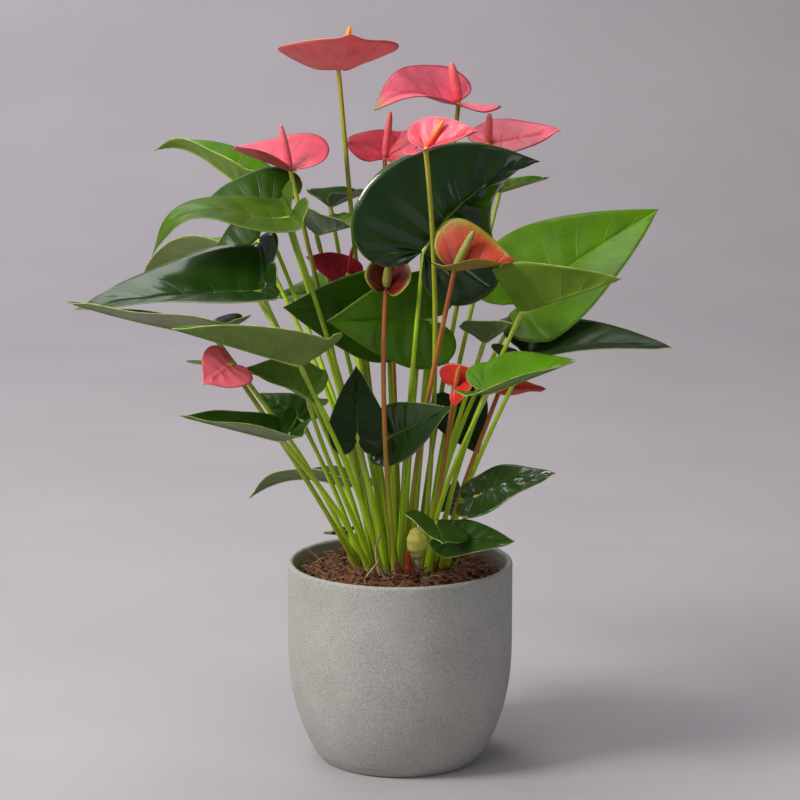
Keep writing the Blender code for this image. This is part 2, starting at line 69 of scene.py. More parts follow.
def new_surface(name):
    """An empty material, and the function that adds a shader node to it. A lower-case detail is one
    of the node's settings. A capitalised one is a socket: a value, a hex colour, or what feeds it."""
    surface = bpy.data.materials.new(name)
    surface.use_nodes = True
    tree = surface.node_tree
    tree.nodes.clear()

    def node(kind, **details):
        made = tree.nodes.new("ShaderNode" + kind)
        for detail, value in details.items():
            if detail == "stops":
                ramp = made.color_ramp.elements
                while len(ramp) < len(value):
                    ramp.new(0.5)
                for stop, (place, colour) in zip(ramp, value):
                    stop.position = place
                    stop.color = linear(colour)
            elif detail[0].islower():
                setattr(made, detail, value)
        for detail, value in details.items():
            if not detail[0].isupper():
                continue
            socket = next(s for s in made.inputs if s.identifier.replace(" ", "_") == detail)
            if isinstance(value, bpy.types.Node):
                value = next(s for s in value.outputs if s.enabled)
            if isinstance(value, bpy.types.NodeSocket):
                tree.links.new(value, socket)
            else:
                socket.default_value = linear(value) if isinstance(value, str) else value
        return made

    return surface, node


def blend(node, share, first, second):
    """The first colour with that share of the second."""
    return node("Mix", data_type="RGBA", Factor_Float=share, A_Color=first, B_Color=second)


def remap(node, value, low, high, to_low, to_high):
    """The value moved from the range low to high onto the range to_low to to_high."""
    return node("MapRange", Value=value, From_Min=low, From_Max=high, To_Min=to_low, To_Max=to_high)


def clouds_of(node, place, size, detail, roughness=0.5, distortion=0.0):
    """Soft random patches of about that size, in metres."""
    return node("TexNoise", Vector=place, Scale=1 / size, Detail=detail, Roughness=roughness,
                Distortion=distortion)


def add_piece(name, body, *surfaces):
    """Makes the finished bmesh a smooth piece of the plant, which rides with the pot."""
    mesh = bpy.data.meshes.new(name)
    body.to_mesh(mesh)
    body.free()
    mesh.shade_smooth()
    for surface in surfaces:
        mesh.materials.append(surface)
    piece = bpy.data.objects.new(name, mesh)
    bpy.context.scene.collection.objects.link(piece)
    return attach(piece, "root")


def pot_outside(height):
    """Radius of the pot's outer face: upright above the shoulder, drawn in to the base below it."""
    below = max(0.0, 1.0 - height / POT_SHOULDER)
    return POT_RADIUS - (POT_RADIUS - POT_BASE_RADIUS) * below ** 2.5


def spin_profile(profile, steps):
    """The closed shell that the (radius, height) pairs sweep round Z."""
    body = bmesh.new()
    corners = [body.verts.new((radius, 0.0, height)) for radius, height in profile]
    edges = [body.edges.new(pair) for pair in zip(corners, corners[1:])]
    bmesh.ops.spin(body, geom=corners + edges, cent=(0, 0, 0), axis=(0, 0, 1), angle=2 * pi,
                   steps=steps, use_merge=True)
    bmesh.ops.remove_doubles(body, verts=body.verts, dist=1e-6)
    bmesh.ops.recalc_face_normals(body, faces=body.faces)
    return body


heights = [POT_HEIGHT * i / 30 for i in range(1, 29)]
foot = [(POT_BASE_RADIUS - POT_FOOT_ROUND * (1 - sin(radians(a))), POT_FOOT_ROUND * (1 - cos(radians(a))))
        for a in (0, 25, 50, 75)]
wall = [(pot_outside(height), height) for height in heights]
lip = [(POT_RADIUS - POT_WALL / 2 * (1 - cos(radians(a))), POT_HEIGHT - POT_WALL / 2 * (1 - sin(radians(a))))
       for a in range(0, 181, 20)]
inside = [(pot_outside(height) - POT_WALL, height) for height in reversed(heights) if height > 2 * POT_FLOOR]
floor_edge = [(POT_BASE_RADIUS - POT_WALL - 0.004, POT_FLOOR), (0.0, POT_FLOOR)]
pot_body = spin_profile([(0.0, 0.0)] + foot + wall + lip + inside + floor_edge, POT_STEPS)

# Cast stone composite, sanded: matt, with mineral grains in two sizes, soft clouds and fine pores.
stone, node = new_surface("cast_stone_composite")
place = node("TexCoord").outputs["Object"]
clouds = clouds_of(node, place, 0.035, 4.0, 0.55)
grains = clouds_of(node, place, 0.0010, 2.0, 0.7)
specks = node("TexVoronoi", Vector=place, Scale=1 / 0.0030, Randomness=1.0)
pores = clouds_of(node, place, 0.0009, 3.0, 0.6)
cloudy = node("ValToRGB", Fac=clouds, stops=[(0.30, STONE_DARK), (0.52, STONE), (0.75, STONE_PALE)])
cloudy = blend(node, 0.35, STONE, cloudy)
grainy = node("ValToRGB", Fac=grains, stops=[(0.36, STONE_DARK), (0.50, STONE), (0.66, STONE_PALE)])
cloudy = blend(node, 0.55, cloudy, grainy)
speck = remap(node, specks.outputs["Distance"], 0.10, 0.22, 0.18, 0.0)
stone_colour = blend(node, speck, cloudy, "#6f6c67")
matt = remap(node, grains, 0.0, 1.0, 0.72, 0.95)
bumps = node("Bump", Strength=0.25, Distance=0.0005, Height=pores)
bumps = node("Bump", Strength=0.20, Distance=0.0020, Height=clouds, Normal=bumps)
node("OutputMaterial", Surface=node("BsdfPrincipled", Base_Color=stone_colour, Roughness=matt, IOR=1.5,
                                    Specular_IOR_Level=0.35, Normal=bumps))

pot = add_piece("cover_pot", pot_body, stone)
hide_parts("pot")


# ---------------------------------------------------------------- potting mix
# A loose mix of coir and peat: dark red-brown crumbs and bark chips, bound by tan coir fibres. It is
# filled by hand, so it heaps up round the crown and sinks towards the wall.

MIX_LEVEL = 0.162
MIX_EDGE_DROP = 0.011
MIX_WALL_GAP = 0.0006
MIX_HEAP = 0.0065               # the ring of loose mix round the crown
MIX_LUMP = 0.0070               # how far the larger lumps stand up
MIX_GRAIN = 0.0026
CRUMBS = 1000
FIBRES = 1100
CRUMB_START = 0.026             # from the middle, clear of the stalks' feet
FIBRE_START = 0.024
MIX_SPREAD = 0.062              # how far the crumbs and fibres lie beyond that
FIBRE_RADIUS = 0.00024
FIBRE_REACH = 0.085             # fibres turn back here, short of the wall
CRUMB_BROWNS = ("#5f3420", "#7c4a32", "#3c2014", "#8c5a42", "#4c2816", "#a07a62")
FIBRE_TANS = ("#b08c68", "#8a5f45", "#c9ab88", "#6b4734", "#9c7654")


def mix_height(x, y):
    """The height of the mix's top there, lumpy and heaped towards the middle."""
    away = hypot(x, y)
    wall_share = min(1.0, max(0.0, (away - 0.050) / (POT_RADIUS - POT_WALL - 0.050)))
    heap = MIX_HEAP * exp(-((away - 0.058) / 0.020) ** 2)
    level = MIX_LEVEL - 0.0012 - MIX_EDGE_DROP * wall_share ** 1.6 + heap
    lumps = noise.noise(Vector((x, y, 0.3)) / 0.013) * MIX_LUMP
    grain = noise.noise(Vector((x, y, 1.7)) / 0.0045) * MIX_GRAIN
    return level + (lumps + grain) * min(1.0, away / 0.045)


mix_wall = [(pot_outside(height) - POT_WALL - MIX_WALL_GAP, height) for height in heights
            if 2 * POT_FLOOR < height < MIX_LEVEL - MIX_EDGE_DROP - 0.004]
mix_top_radius = POT_RADIUS - POT_WALL - MIX_WALL_GAP
mix_top = [(mix_top_radius * (1 - i / 48), MIX_LEVEL - MIX_EDGE_DROP) for i in range(49)]
mix_base = [(0.0, POT_FLOOR + 0.0004), (POT_BASE_RADIUS - POT_WALL - 0.006, POT_FLOOR + 0.0004)]
mix_body = spin_profile(mix_base + mix_wall + mix_top, 180)
for vertex in mix_body.verts:
    if vertex.co.z > MIX_LEVEL - MIX_EDGE_DROP - 0.001:
        vertex.co.z = mix_height(vertex.co.x, vertex.co.y)

# Damp coir and peat: crumbly and lightless, so nearly no shine, with browns that change every few mm.
coir, node = new_surface("damp_coir_mix")
place = node("TexCoord").outputs["Object"]
crumble = clouds_of(node, place, 0.005, 6.0, 0.7)
strands = clouds_of(node, place, 0.0014, 3.0, distortion=1.5)
browns = node("ValToRGB", Fac=crumble, stops=[(0.30, "#2c1710"), (0.44, "#5a3324"), (0.56, "#85543f"),
                                              (0.70, "#ab8270")])
tans = node("ValToRGB", Fac=strands, stops=[(0.42, "#43261a"), (0.58, "#8f604a"), (0.72, "#c09a80")])
coir_colour = blend(node, 0.4, browns, tans)
crumbs_up = node("Bump", Strength=0.9, Distance=0.0020, Height=crumble)
crumbs_up = node("Bump", Strength=0.6, Distance=0.0006, Height=strands, Normal=crumbs_up)
node("OutputMaterial", Surface=node("BsdfPrincipled", Base_Color=coir_colour, Roughness=0.95,
                                    Specular_IOR_Level=0.2, Normal=crumbs_up))

mix = add_piece("potting_mix_fill", mix_body, coir)
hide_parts("potting_mix")

# Bark chips and coir strands: dry, fibrous and matt. Each carries its own brown as a tint.
bark, node = new_surface("coir_fibre_and_bark")
tint = node("Attribute", attribute_name="tint").outputs["Color"]
place = node("TexCoord").outputs["Object"]
grain = clouds_of(node, place, 0.0012, 4.0, 0.6)
shade = node("ValToRGB", Fac=grain, stops=[(0.30, "#8a8a8a"), (0.70, "#ffffff")])
bark_colour = node("Mix", data_type="RGBA", blend_type="MULTIPLY", Factor_Float=1.0, A_Color=tint,
                   B_Color=shade)
splinters = node("Bump", Strength=0.6, Distance=0.0004, Height=grain)
node("OutputMaterial", Surface=node("BsdfPrincipled", Base_Color=bark_colour, Roughness=0.88,
                                    Specular_IOR_Level=0.25, Normal=splinters))

crumb_body = bmesh.new()
crumb_tint = crumb_body.verts.layers.float_color.new("tint")
for _ in range(CRUMBS):
    away = CRUMB_START + MIX_SPREAD * chance.random() ** 0.8
    heading = chance.uniform(0, 2 * pi)
    x, y = away * cos(heading), away * sin(heading)
    made = bmesh.ops.create_icosphere(crumb_body, subdivisions=1, radius=1.0)["verts"]
    brown = linear(chance.choice(CRUMB_BROWNS))
    size = chance.uniform(0.0008, 0.0028)
    bmesh.ops.scale(crumb_body, verts=made, vec=(size * chance.uniform(1.0, 2.6), size, size * 0.7))
    turn = chance.uniform(0, 2 * pi)
    for vertex in made:
        vertex.co *= chance.uniform(0.75, 1.2)
        across, along = vertex.co.x, vertex.co.y
        vertex.co.x = x + across * cos(turn) - along * sin(turn)
        vertex.co.y = y + across * sin(turn) + along * cos(turn)
        vertex.co.z += mix_height(x, y) + size * 0.25
        vertex[crumb_tint] = brown
bmesh.ops.recalc_face_normals(crumb_body, faces=crumb_body.faces)
crumbs = add_piece("potting_mix_crumbs", crumb_body, bark)
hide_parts("potting_mix")


def grow_strand(body, route, sides, girth, tint_at):
    """A round strand along the route. girth gives its radius and tint_at its colour, both from the
    share of the length and the share of the turn. Its UV map runs round it and along it."""
    body.loops.layers.uv.verify()
    tint_layer = body.verts.layers.float_color.get("tint") or body.verts.layers.float_color.new("tint")
    rings = len(route)
    made = bmesh.ops.create_grid(body, x_segments=sides, y_segments=rings - 1, size=1.0, calc_uvs=True)
    side = None
    frames = []
    for i in range(rings):
        ahead = (route[min(i + 1, rings - 1)] - route[max(i - 1, 0)]).normalized()
        side = (ahead.orthogonal() if side is None else side - side.project(ahead)).normalized()
        frames.append((side, ahead.cross(side)))
    for vertex in made["verts"]:
        ring = round((vertex.co.y + 1) / 2 * (rings - 1))
        turn = (vertex.co.x + 1) / 2 % 1.0
        share = ring / (rings - 1)
        out, over = frames[ring]
        direction = out * cos(2 * pi * turn) + over * sin(2 * pi * turn)
        vertex.co = route[ring] + direction * girth(share, turn)
        vertex[tint_layer] = tint_at(share, turn)
    bmesh.ops.remove_doubles(body, verts=made["verts"], dist=1e-6)
    open_ends = [edge for edge in body.edges if edge.is_boundary]
    bmesh.ops.holes_fill(body, edges=open_ends, sides=0)


fibre_body = bmesh.new()
for _ in range(FIBRES):
    away = FIBRE_START + MIX_SPREAD * chance.random() ** 0.8
    heading = chance.uniform(0, 2 * pi)
    step = chance.uniform(0.0016, 0.0036)
    x, y = away * cos(heading), away * sin(heading)
    point = Vector((x, y, mix_height(x, y) + 0.0006))
    course = chance.uniform(0, 2 * pi)
    lift = chance.uniform(0.1, 1.1)
    route = []
    for i in range(7):
        route.append(point.copy())
        course += chance.uniform(-0.6, 0.6)
        lift -= chance.uniform(0.0, 0.35)
        point = point + Vector((cos(course), sin(course), lift)) * step
        if hypot(point.x, point.y) > FIBRE_REACH:
            course = heading + pi
        point.z = max(point.z, mix_height(point.x, point.y) + 0.0004)
    tan = linear(chance.choice(FIBRE_TANS))
    thick = FIBRE_RADIUS * chance.uniform(0.7, 1.9)
    grow_strand(fibre_body, route, 3, lambda share, turn: thick * (1.1 - 0.7 * share),
                lambda share, turn: tan)
fibres = add_piece("coir_fibres", fibre_body, bark)
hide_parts("potting_mix")


# ---------------------------------------------------------------- leaves
# Heart-shaped evergreen leaves. Each has a leathery, waxed blade with sunk veins on the upper side
# and raised paler ones underneath, on a round stalk that thickens just below the blade and at its foot.

FOOT_CLEARANCE = 0.0012
LEAF_STALK_RADIUS = (0.0023, 0.0017)    # at the foot and at the blade
LEAF_STALK_RINGS = 44
STALK_SIDES = 16
KNEE_LENGTH = 0.016             # the thickened joint under the blade
SHEATH_LENGTH = 0.022           # the widened foot of a stalk
MIDRIB_RADIUS = (0.0011, 0.00025)
MIDRIB_RINGS = 18
LEAF_THICKNESS = 0.0007
LOBE_HINGE = 0.08               # where a lifted lobe reaches its full angle, in midrib lengths
VEIN_FAN = 0.30                 # share of the outline whose veins start at the junction itself
COLUMNS = 16                    # of each half of a blade
SPREAD_POWER = 1.4              # packs the columns near the midrib
LEAF_VEINS = 9                  # of each half of a leaf
ROWS_PER_VEIN = 8
QUILT = 0.0007                  # how far a leaf swells between two veins
MIDRIB_GROOVE = 0.0007
MIDRIB_HALF_WIDTH = 0.0013

# Half a blade, as (along the midrib, out from it) in midrib lengths, from the notch to the tip.
LEAF_OUTLINE = (
    (-0.12, 0.04), (-0.21, 0.13), (-0.22, 0.26), (-0.13, 0.38), (0.04, 0.44), (0.24, 0.43),
    (0.45, 0.35), (0.65, 0.24), (0.82, 0.125), (0.93, 0.045), (1.00, 0.0),
)

# Upper and lower colour of a leaf by its age, and the colours along a stalk from foot to blade.
LEAF_COLOURS = {
    "dark": ("#264a03", "#6a862a"),
    "fresh": ("#568904", "#7fa81c"),
    "pale": ("#5f8618", "#95a763"),
}
STALK_GREENS = ((0.0, "#b4b45e"), (0.08, "#b2d030"), (0.45, "#a8cc18"), (0.86, "#9cbc22"), (1.0, "#aebe4e"))


def blend_along(stops, share):
    """The colour at that share of the way along the (share, hex colour) stops."""
    for (before, first), (after, second) in zip(stops, stops[1:]):
        if share <= after:
            part = max(0.0, (share - before) / (after - before))
            return tuple(a + (b - a) * part for a, b in zip(linear(first), linear(second)))
    return linear(stops[-1][1])


def spline_point(points, share):
    """The point at that share, 0 to 1, of a smooth curve through all the given points."""
    place = share * (len(points) - 1)
    index = min(int(place), len(points) - 2)
    t = place - index
    before = points[max(index - 1, 0)]
    start = points[index]
    end = points[index + 1]
    after = points[min(index + 2, len(points) - 1)]
    return tuple(
        0.5 * (2 * b + (c - a) * t + (2 * a - 5 * b + 4 * c - d) * t ** 2
               + (3 * b - a - 3 * c + d) * t ** 3)
        for a, b, c, d in zip(before, start, end, after)
    )


def blade_frame(shape):
    """Where a point of the flat outline lies on the bent blade: (along, out, left) to (place, normal)."""
    junction = Vector(shape["junction"])
    chord = Vector(shape["tip"]) - junction
    length = chord.length
    faces = Vector(shape["faces"])
    up = (faces - faces.project(chord)).normalized()
    left_side = up.cross(chord).normalized()
    widest = max(out for _, out in shape["outline"])
    spread = shape["width"] / (2 * widest * length)
    arch = shape.get("arch", 0.0)
    late = shape.get("late", 0.0)
    sway = shape.get("sway", 0.0)
    cup = shape.get("cup", 0.0)
    folds = [radians(angle) for angle in shape.get("fold", (10, 10))]
    rolls = [radians(angle) for angle in shape.get("roll", (0, 0))]
    lifts = [radians(angle) for angle in shape.get("lift", (0, 0))]

    def midrib(along):
        ahead = max(along, 0.0)
        rise = arch * 4 * along * (1 - ahead) + late * 6.75 * ahead ** 2 * (1 - ahead)
        bowed = sway * 4 * along * (1 - ahead)
        return junction + chord * along + up * length * rise + left_side * length * bowed

    def place(along, out, left):
        ahead = (midrib(along + 0.01) - midrib(along - 0.01)).normalized()
        side = up.cross(ahead).normalized()
        over = ahead.cross(side)
        half = 0 if left else 1
        tilt = folds[half] + rolls[half] * max(along, 0.0)
        across = side if left else -side
        reach = out * spread * length
        behind = max(-along, 0.0)
        hinge = lifts[half] * min(1.0, behind / LOBE_HINGE)
        lobe = chord * behind * (1 - cos(hinge)) + up * length * behind * sin(hinge)
        bowl = up * length * cup * (along * (along - 1) + (out * spread) ** 2)
        at = midrib(along) + across * reach * cos(tilt) + over * reach * sin(tilt) + lobe + bowl
        return at, over * cos(tilt) - across * sin(tilt), reach

    return place


def bend_blade(shape, veins, relief, tints):
    """An open sheet in the shape of the blade. Its rows follow the side veins. relief gives how far
    the surface stands up, and tints the colour of the upper and of the lower side."""
    place = blade_frame(shape)
    body = bmesh.new()
    veins_map = body.loops.layers.uv.new("veins")
    upper = body.verts.layers.float_color.new("tint_upper")
    lower = body.verts.layers.float_color.new("tint_lower")
    bmesh.ops.create_grid(body, x_segments=2 * COLUMNS, y_segments=veins * ROWS_PER_VEIN, size=1.0,
                          calc_uvs=True)
    for face in body.faces:
        for loop in face.loops:
            across = 2 * loop[veins_map].uv.x - 1
            loop[veins_map].uv.x = 0.5 + 0.5 * copysign(abs(across) ** SPREAD_POWER, across)
    for vertex in body.verts:
        across = abs(vertex.co.x) ** SPREAD_POWER
        left = vertex.co.x > 0
        share = (vertex.co.y + 1) / 2
        edge_along, edge_out = spline_point(shape["outline"], share)
        root = max(0.0, (share - VEIN_FAN) / (1.0 - VEIN_FAN)) ** 1.4
        along = root + (edge_along - root) * across ** 1.2
        at, normal, reach = place(along, edge_out * across, left)
        vertex.co = at + normal * relief(across, share, reach, left)
        vertex[upper], vertex[lower] = tints(across, share, left, along, edge_out * across)
    bmesh.ops.remove_doubles(body, verts=body.verts, dist=1e-5)
    bmesh.ops.reverse_faces(body, faces=body.faces)
    return body


def stalk_route(foot, junction, bow, bend, rings):
    """Points up a stalk that rises steeply from its foot, then leans out to the junction."""
    foot = Vector((foot[0], foot[1], MIX_LEVEL + FOOT_CLEARANCE - 0.004))
    reach = junction - foot
    level = Vector((reach.x, reach.y, 0.0))
    sideways = Vector((bend[0], bend[1], 0.0)) / 0.75
    start = foot + Vector((0, 0, 0.35 * reach.z)) + level * (0.35 - bow) + sideways
    end = junction - Vector((0, 0, 0.30 * reach.z)) - level * (0.30 + bow / 3) + sideways
    return [Vector(point) for point in interpolate_bezier(foot, start, end, junction, rings)]


def overlay(node, colour, mask, strength, over):
    """The colour with the other laid over it where the mask is, at that strength."""
    share = node("Math", operation="MULTIPLY", Value=mask, Value_001=strength)
    return blend(node, share, colour, over)


def end_thin(node, shader, glow, share):
    """Ends a surface so thin that this share of the light comes through it, in the glow's colour."""
    through = node("BsdfTranslucent", Color=glow)
    mixed = node("MixShader", Fac=share, Shader=shader, Shader_001=through)
    node("OutputMaterial", Surface=mixed)


def blade_pattern(node, vein_count, vein_width, midrib_width):
    """The masks of a blade's veins and edge, from its own UV map: side veins, midrib, margin and net."""
    split = node("SeparateXYZ", Vector=node("UVMap", uv_map="veins"))
    off_middle = node("Math", operation="SUBTRACT", Value=split.outputs["X"], Value_001=0.5)
    half = node("Math", operation="ABSOLUTE", Value=off_middle)
    across = node("Math", operation="MULTIPLY", Value=half, Value_001=2.0)
    count = node("Math", operation="MULTIPLY", Value=split.outputs["Y"], Value_001=vein_count)
    nearest = node("Math", operation="PINGPONG", Value=count, Value_001=0.5)
    side_veins = node("MapRange", interpolation_type="SMOOTHSTEP", Value=nearest,
                      From_Min=vein_width * 0.2, From_Max=vein_width, To_Min=1.0, To_Max=0.0)
    fading = remap(node, across, 0.25, 0.95, 1.0, 0.0)
    side_veins = node("Math", operation="MULTIPLY", Value=side_veins, Value_001=fading)
    midrib = node("MapRange", interpolation_type="SMOOTHSTEP", Value=across, From_Min=midrib_width * 0.5,
                  From_Max=midrib_width, To_Min=1.0, To_Max=0.0)
    margin = node("MapRange", interpolation_type="SMOOTHSTEP", Value=across, From_Min=0.955,
                  From_Max=0.995)
    place = node("TexCoord").outputs["Object"]
    net = node("TexVoronoi", feature="DISTANCE_TO_EDGE", Vector=place, Scale=1 / 0.0042)
    net = remap(node, net, 0.0, 0.16, 1.0, 0.0)
    return side_veins, midrib, margin, net, place


def mottle(node, colour, place, size, darkest, palest):
    """The colour in soft patches of that size, from darkest to palest times its own brightness."""
    patches = clouds_of(node, place, size, 4.0, 0.5)
    level = remap(node, patches, 0.3, 0.7, darkest, palest)
    return node("VectorMath", operation="SCALE", Vector=colour, Scale=level)


# The upper side is a waxed cuticle: deep green, glossy, with thin pale veins sunk in it. The wax of a
# leaf in its prime is as clear as lacquer, so the quilting shows as bright streaks.
def waxed_upper(name, lacquer):
    upper, node = new_surface(name)
    side_veins, midrib, margin, net, place = blade_pattern(node, LEAF_VEINS, 0.050, 0.022)
    tint = node("Attribute", attribute_name="tint_upper").outputs["Color"]
    green = mottle(node, tint, place, 0.022, 0.78, 1.22)
    lighter = node("VectorMath", operation="SCALE", Vector=tint, Scale=1.8)
    for mask, strength, colour in ((net, 0.10, lighter), (side_veins, 0.30, lighter),
                                   (midrib, 0.60, "#86a83c"), (margin, 0.35, "#7d9a34")):
        green = overlay(node, green, mask, strength, colour)
    wear = clouds_of(node, place, 0.012, 5.0, 0.6)
    wear = remap(node, wear, 0.3, 0.7, 0.32, 0.50)
    wax = node("Attribute", attribute_name="tint_upper").outputs["Alpha"]
    waxed = node("Math", operation="MULTIPLY", Value=wear, Value_001=wax)
    sunk = node("Math", operation="SUBTRACT", Value=0.0, Value_001=side_veins)
    grooves = node("Bump", Strength=0.5, Distance=0.0004, Height=sunk)
    grooves = node("Bump", Strength=0.20, Distance=0.0001, Height=net, Normal=grooves)
    gloss = node("BsdfPrincipled", Base_Color=green, Roughness=waxed, IOR=1.45, Specular_IOR_Level=0.22,
                 Coat_Weight=lacquer, Coat_Roughness=0.14, Normal=grooves, Coat_Normal=grooves)
    lit = node("VectorMath", operation="MULTIPLY", Vector=green, Vector_001=(1.7, 1.4, 0.3))
    end_thin(node, gloss, lit, 0.25)
    return upper


leaf_upper = waxed_upper("leaf_upper_waxed", 0.14)
leaf_upper_prime = waxed_upper("leaf_upper_lacquered", 1.0)

# The lower side has no wax shine: paler, greyer, with raised veins that catch the light.
leaf_lower, node = new_surface("leaf_underside_matt")
side_veins, midrib, margin, net, place = blade_pattern(node, LEAF_VEINS, 0.075, 0.045)
tint = node("Attribute", attribute_name="tint_lower").outputs["Color"]
pale = mottle(node, tint, place, 0.026, 0.84, 1.16)
pale = overlay(node, pale, net, 0.07, "#4f6a2c")
pale = overlay(node, pale, side_veins, 0.22, "#a3b374")
pale = overlay(node, pale, margin, 0.5, "#9db05a")
raised = node("Bump", Strength=0.6, Distance=0.0005, Height=side_veins)
raised = node("Bump", Strength=0.20, Distance=0.00015, Height=net, Normal=raised)
leaf_matt = node("BsdfPrincipled", Base_Color=pale, Roughness=0.52, IOR=1.45, Specular_IOR_Level=0.22,
                 Sheen_Weight=0.05, Sheen_Roughness=0.4, Normal=raised)
lit = node("VectorMath", operation="MULTIPLY", Vector=pale, Vector_001=(1.2, 1.1, 0.4))
end_thin(node, leaf_matt, lit, 0.28)

# The cut-thin edge of a blade is painted a fine pale yellow-green line: painted light, standing for the
# light that comes through the thin edge.
leaf_edge, node = new_surface("leaf_edge")
place = node("TexCoord").outputs["Object"]
nicks = clouds_of(node, place, 0.006, 3.0)
painted_glow_green = node("ValToRGB", Fac=nicks, stops=[(0.35, "#7c9338"), (0.65, "#a9b86a")])
node("OutputMaterial", Surface=node("BsdfPrincipled", Base_Color=painted_glow_green, Roughness=0.45, IOR=1.45))

# A fresh green stalk: smooth satin skin with fine lengthwise streaks, tinted along its length.
stalk_skin, node = new_surface("stalk_skin")
tint = node("Attribute", attribute_name="tint").outputs["Color"]
place = node("TexCoord").outputs["Object"]
streaks = node("Mapping", Vector=place, Scale=(1 / 0.0012, 1 / 0.0012, 1 / 0.030))
streaks = clouds_of(node, streaks, 1.0, 3.0, 0.5)
skin = mottle(node, tint, place, 0.030, 0.85, 1.15)
level = remap(node, streaks, 0.3, 0.7, 0.88, 1.10)
skin = node("VectorMath", operation="SCALE", Vector=skin, Scale=level)
fine = node("Bump", Strength=0.25, Distance=0.0002, Height=streaks)
satin = remap(node, streaks, 0.0, 1.0, 0.34, 0.52)
node("OutputMaterial", Surface=node("BsdfPrincipled", Base_Color=skin, Roughness=satin, IOR=1.45,
                                    Specular_IOR_Level=0.45, Subsurface_Weight=0.10,
                                    Subsurface_Scale=0.002, Normal=fine))


def add_thickness(piece, thickness):
    shell = piece.modifiers.new("thickness", "SOLIDIFY")
    shell.thickness = thickness
    shell.offset = 0.0
    shell.material_offset = 1
    shell.material_offset_rim = 2


def grow_leaf(name, foot, age="dark", upper=None, lower=None, bow=0.18, bend=(0, 0), thin=1.0,
              quilt=1.0, wave=0.0012, wax=1.0, prime=False, greens=STALK_GREENS, **shape):
    """One leaf: a blade and the stalk that carries it, with the stalk run on as the blade's midrib.
    The alpha of the upper tint holds how dull the wax is: 1 as usual, less on a glossy leaf."""
    shape["outline"] = LEAF_OUTLINE
    uppers = upper or LEAF_COLOURS[age][0]
    lowers = lower or LEAF_COLOURS[age][1]
    uppers = [linear(c) for c in (uppers if isinstance(uppers, tuple) else (uppers, uppers))]
    lowers = [linear(c) for c in (lowers if isinstance(lowers, tuple) else (lowers, lowers))]
    phase = chance.uniform(0, 2 * pi)
    waves = chance.choice((2.0, 2.5, 3.0))

    def relief(across, share, reach, left):
        swell = sin(pi * share * LEAF_VEINS) ** 2 * across ** 0.5 * (1 - across)
        ripple = across ** 4 * sin(2 * pi * waves * share + phase + (2.0 if left else 0.0))
        fade = min(1.0, (1 - share) / 0.12)
        groove = exp(-(reach / MIDRIB_HALF_WIDTH) ** 2)
        return fade * (2.2 * QUILT * quilt * swell + wave * ripple - MIDRIB_GROOVE * groove)

    def tints(across, share, left, along, out):
        side = 0 if left else 1
        return (*uppers[side][:3], wax), lowers[side]

    blade_body = bend_blade(shape, LEAF_VEINS, relief, tints)
    blade = add_piece(name + "_blade", blade_body, leaf_upper_prime if prime else leaf_upper,
                      leaf_lower, leaf_edge)
    add_thickness(blade, LEAF_THICKNESS)

    junction = Vector(shape["junction"])
    route = stalk_route(foot, junction, bow, bend, LEAF_STALK_RINGS)
    place = blade_frame(shape)
    for i in range(1, MIDRIB_RINGS):
        along = 0.02 + 0.93 * i / (MIDRIB_RINGS - 1)
        at, normal, _ = place(along, 0.0, True)
        route.append(at - normal * (MIDRIB_GROOVE + 0.0006 * (1 - along)))
    stalk_share = (LEAF_STALK_RINGS - 1) / (len(route) - 1)
    stalk_length = sum((b - a).length for a, b in zip(route[:LEAF_STALK_RINGS], route[1:LEAF_STALK_RINGS]))
    midrib_stops = ((0.0, greens[-1][1]), (0.3, "#9aae58"), (1.0, "#7f9a44"))

    def girth(share, turn):
        if share > stalk_share:
            part = (share - stalk_share) / (1 - stalk_share)
            return MIDRIB_RADIUS[0] + (MIDRIB_RADIUS[1] - MIDRIB_RADIUS[0]) * part ** 0.6
        up = share / stalk_share
        radius = (LEAF_STALK_RADIUS[0] + (LEAF_STALK_RADIUS[1] - LEAF_STALK_RADIUS[0]) * up) * thin
        knee = exp(-(((1 - up) * stalk_length - KNEE_LENGTH * 0.55) / (KNEE_LENGTH * 0.45)) ** 2)
        sheath = exp(-(up * stalk_length / SHEATH_LENGTH) ** 2)
        return radius * (1 + 0.28 * knee + 0.45 * sheath)

    def stalk_tint(share, turn):
        if share > stalk_share:
            return blend_along(midrib_stops, (share - stalk_share) / (1 - stalk_share))
        return blend_along(greens, share / stalk_share)

    stalk_body = bmesh.new()
    grow_strand(stalk_body, route, STALK_SIDES, girth, stalk_tint)
    stalk = add_piece(name + "_stalk", stalk_body, stalk_skin)
    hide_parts(name)
    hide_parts(name)


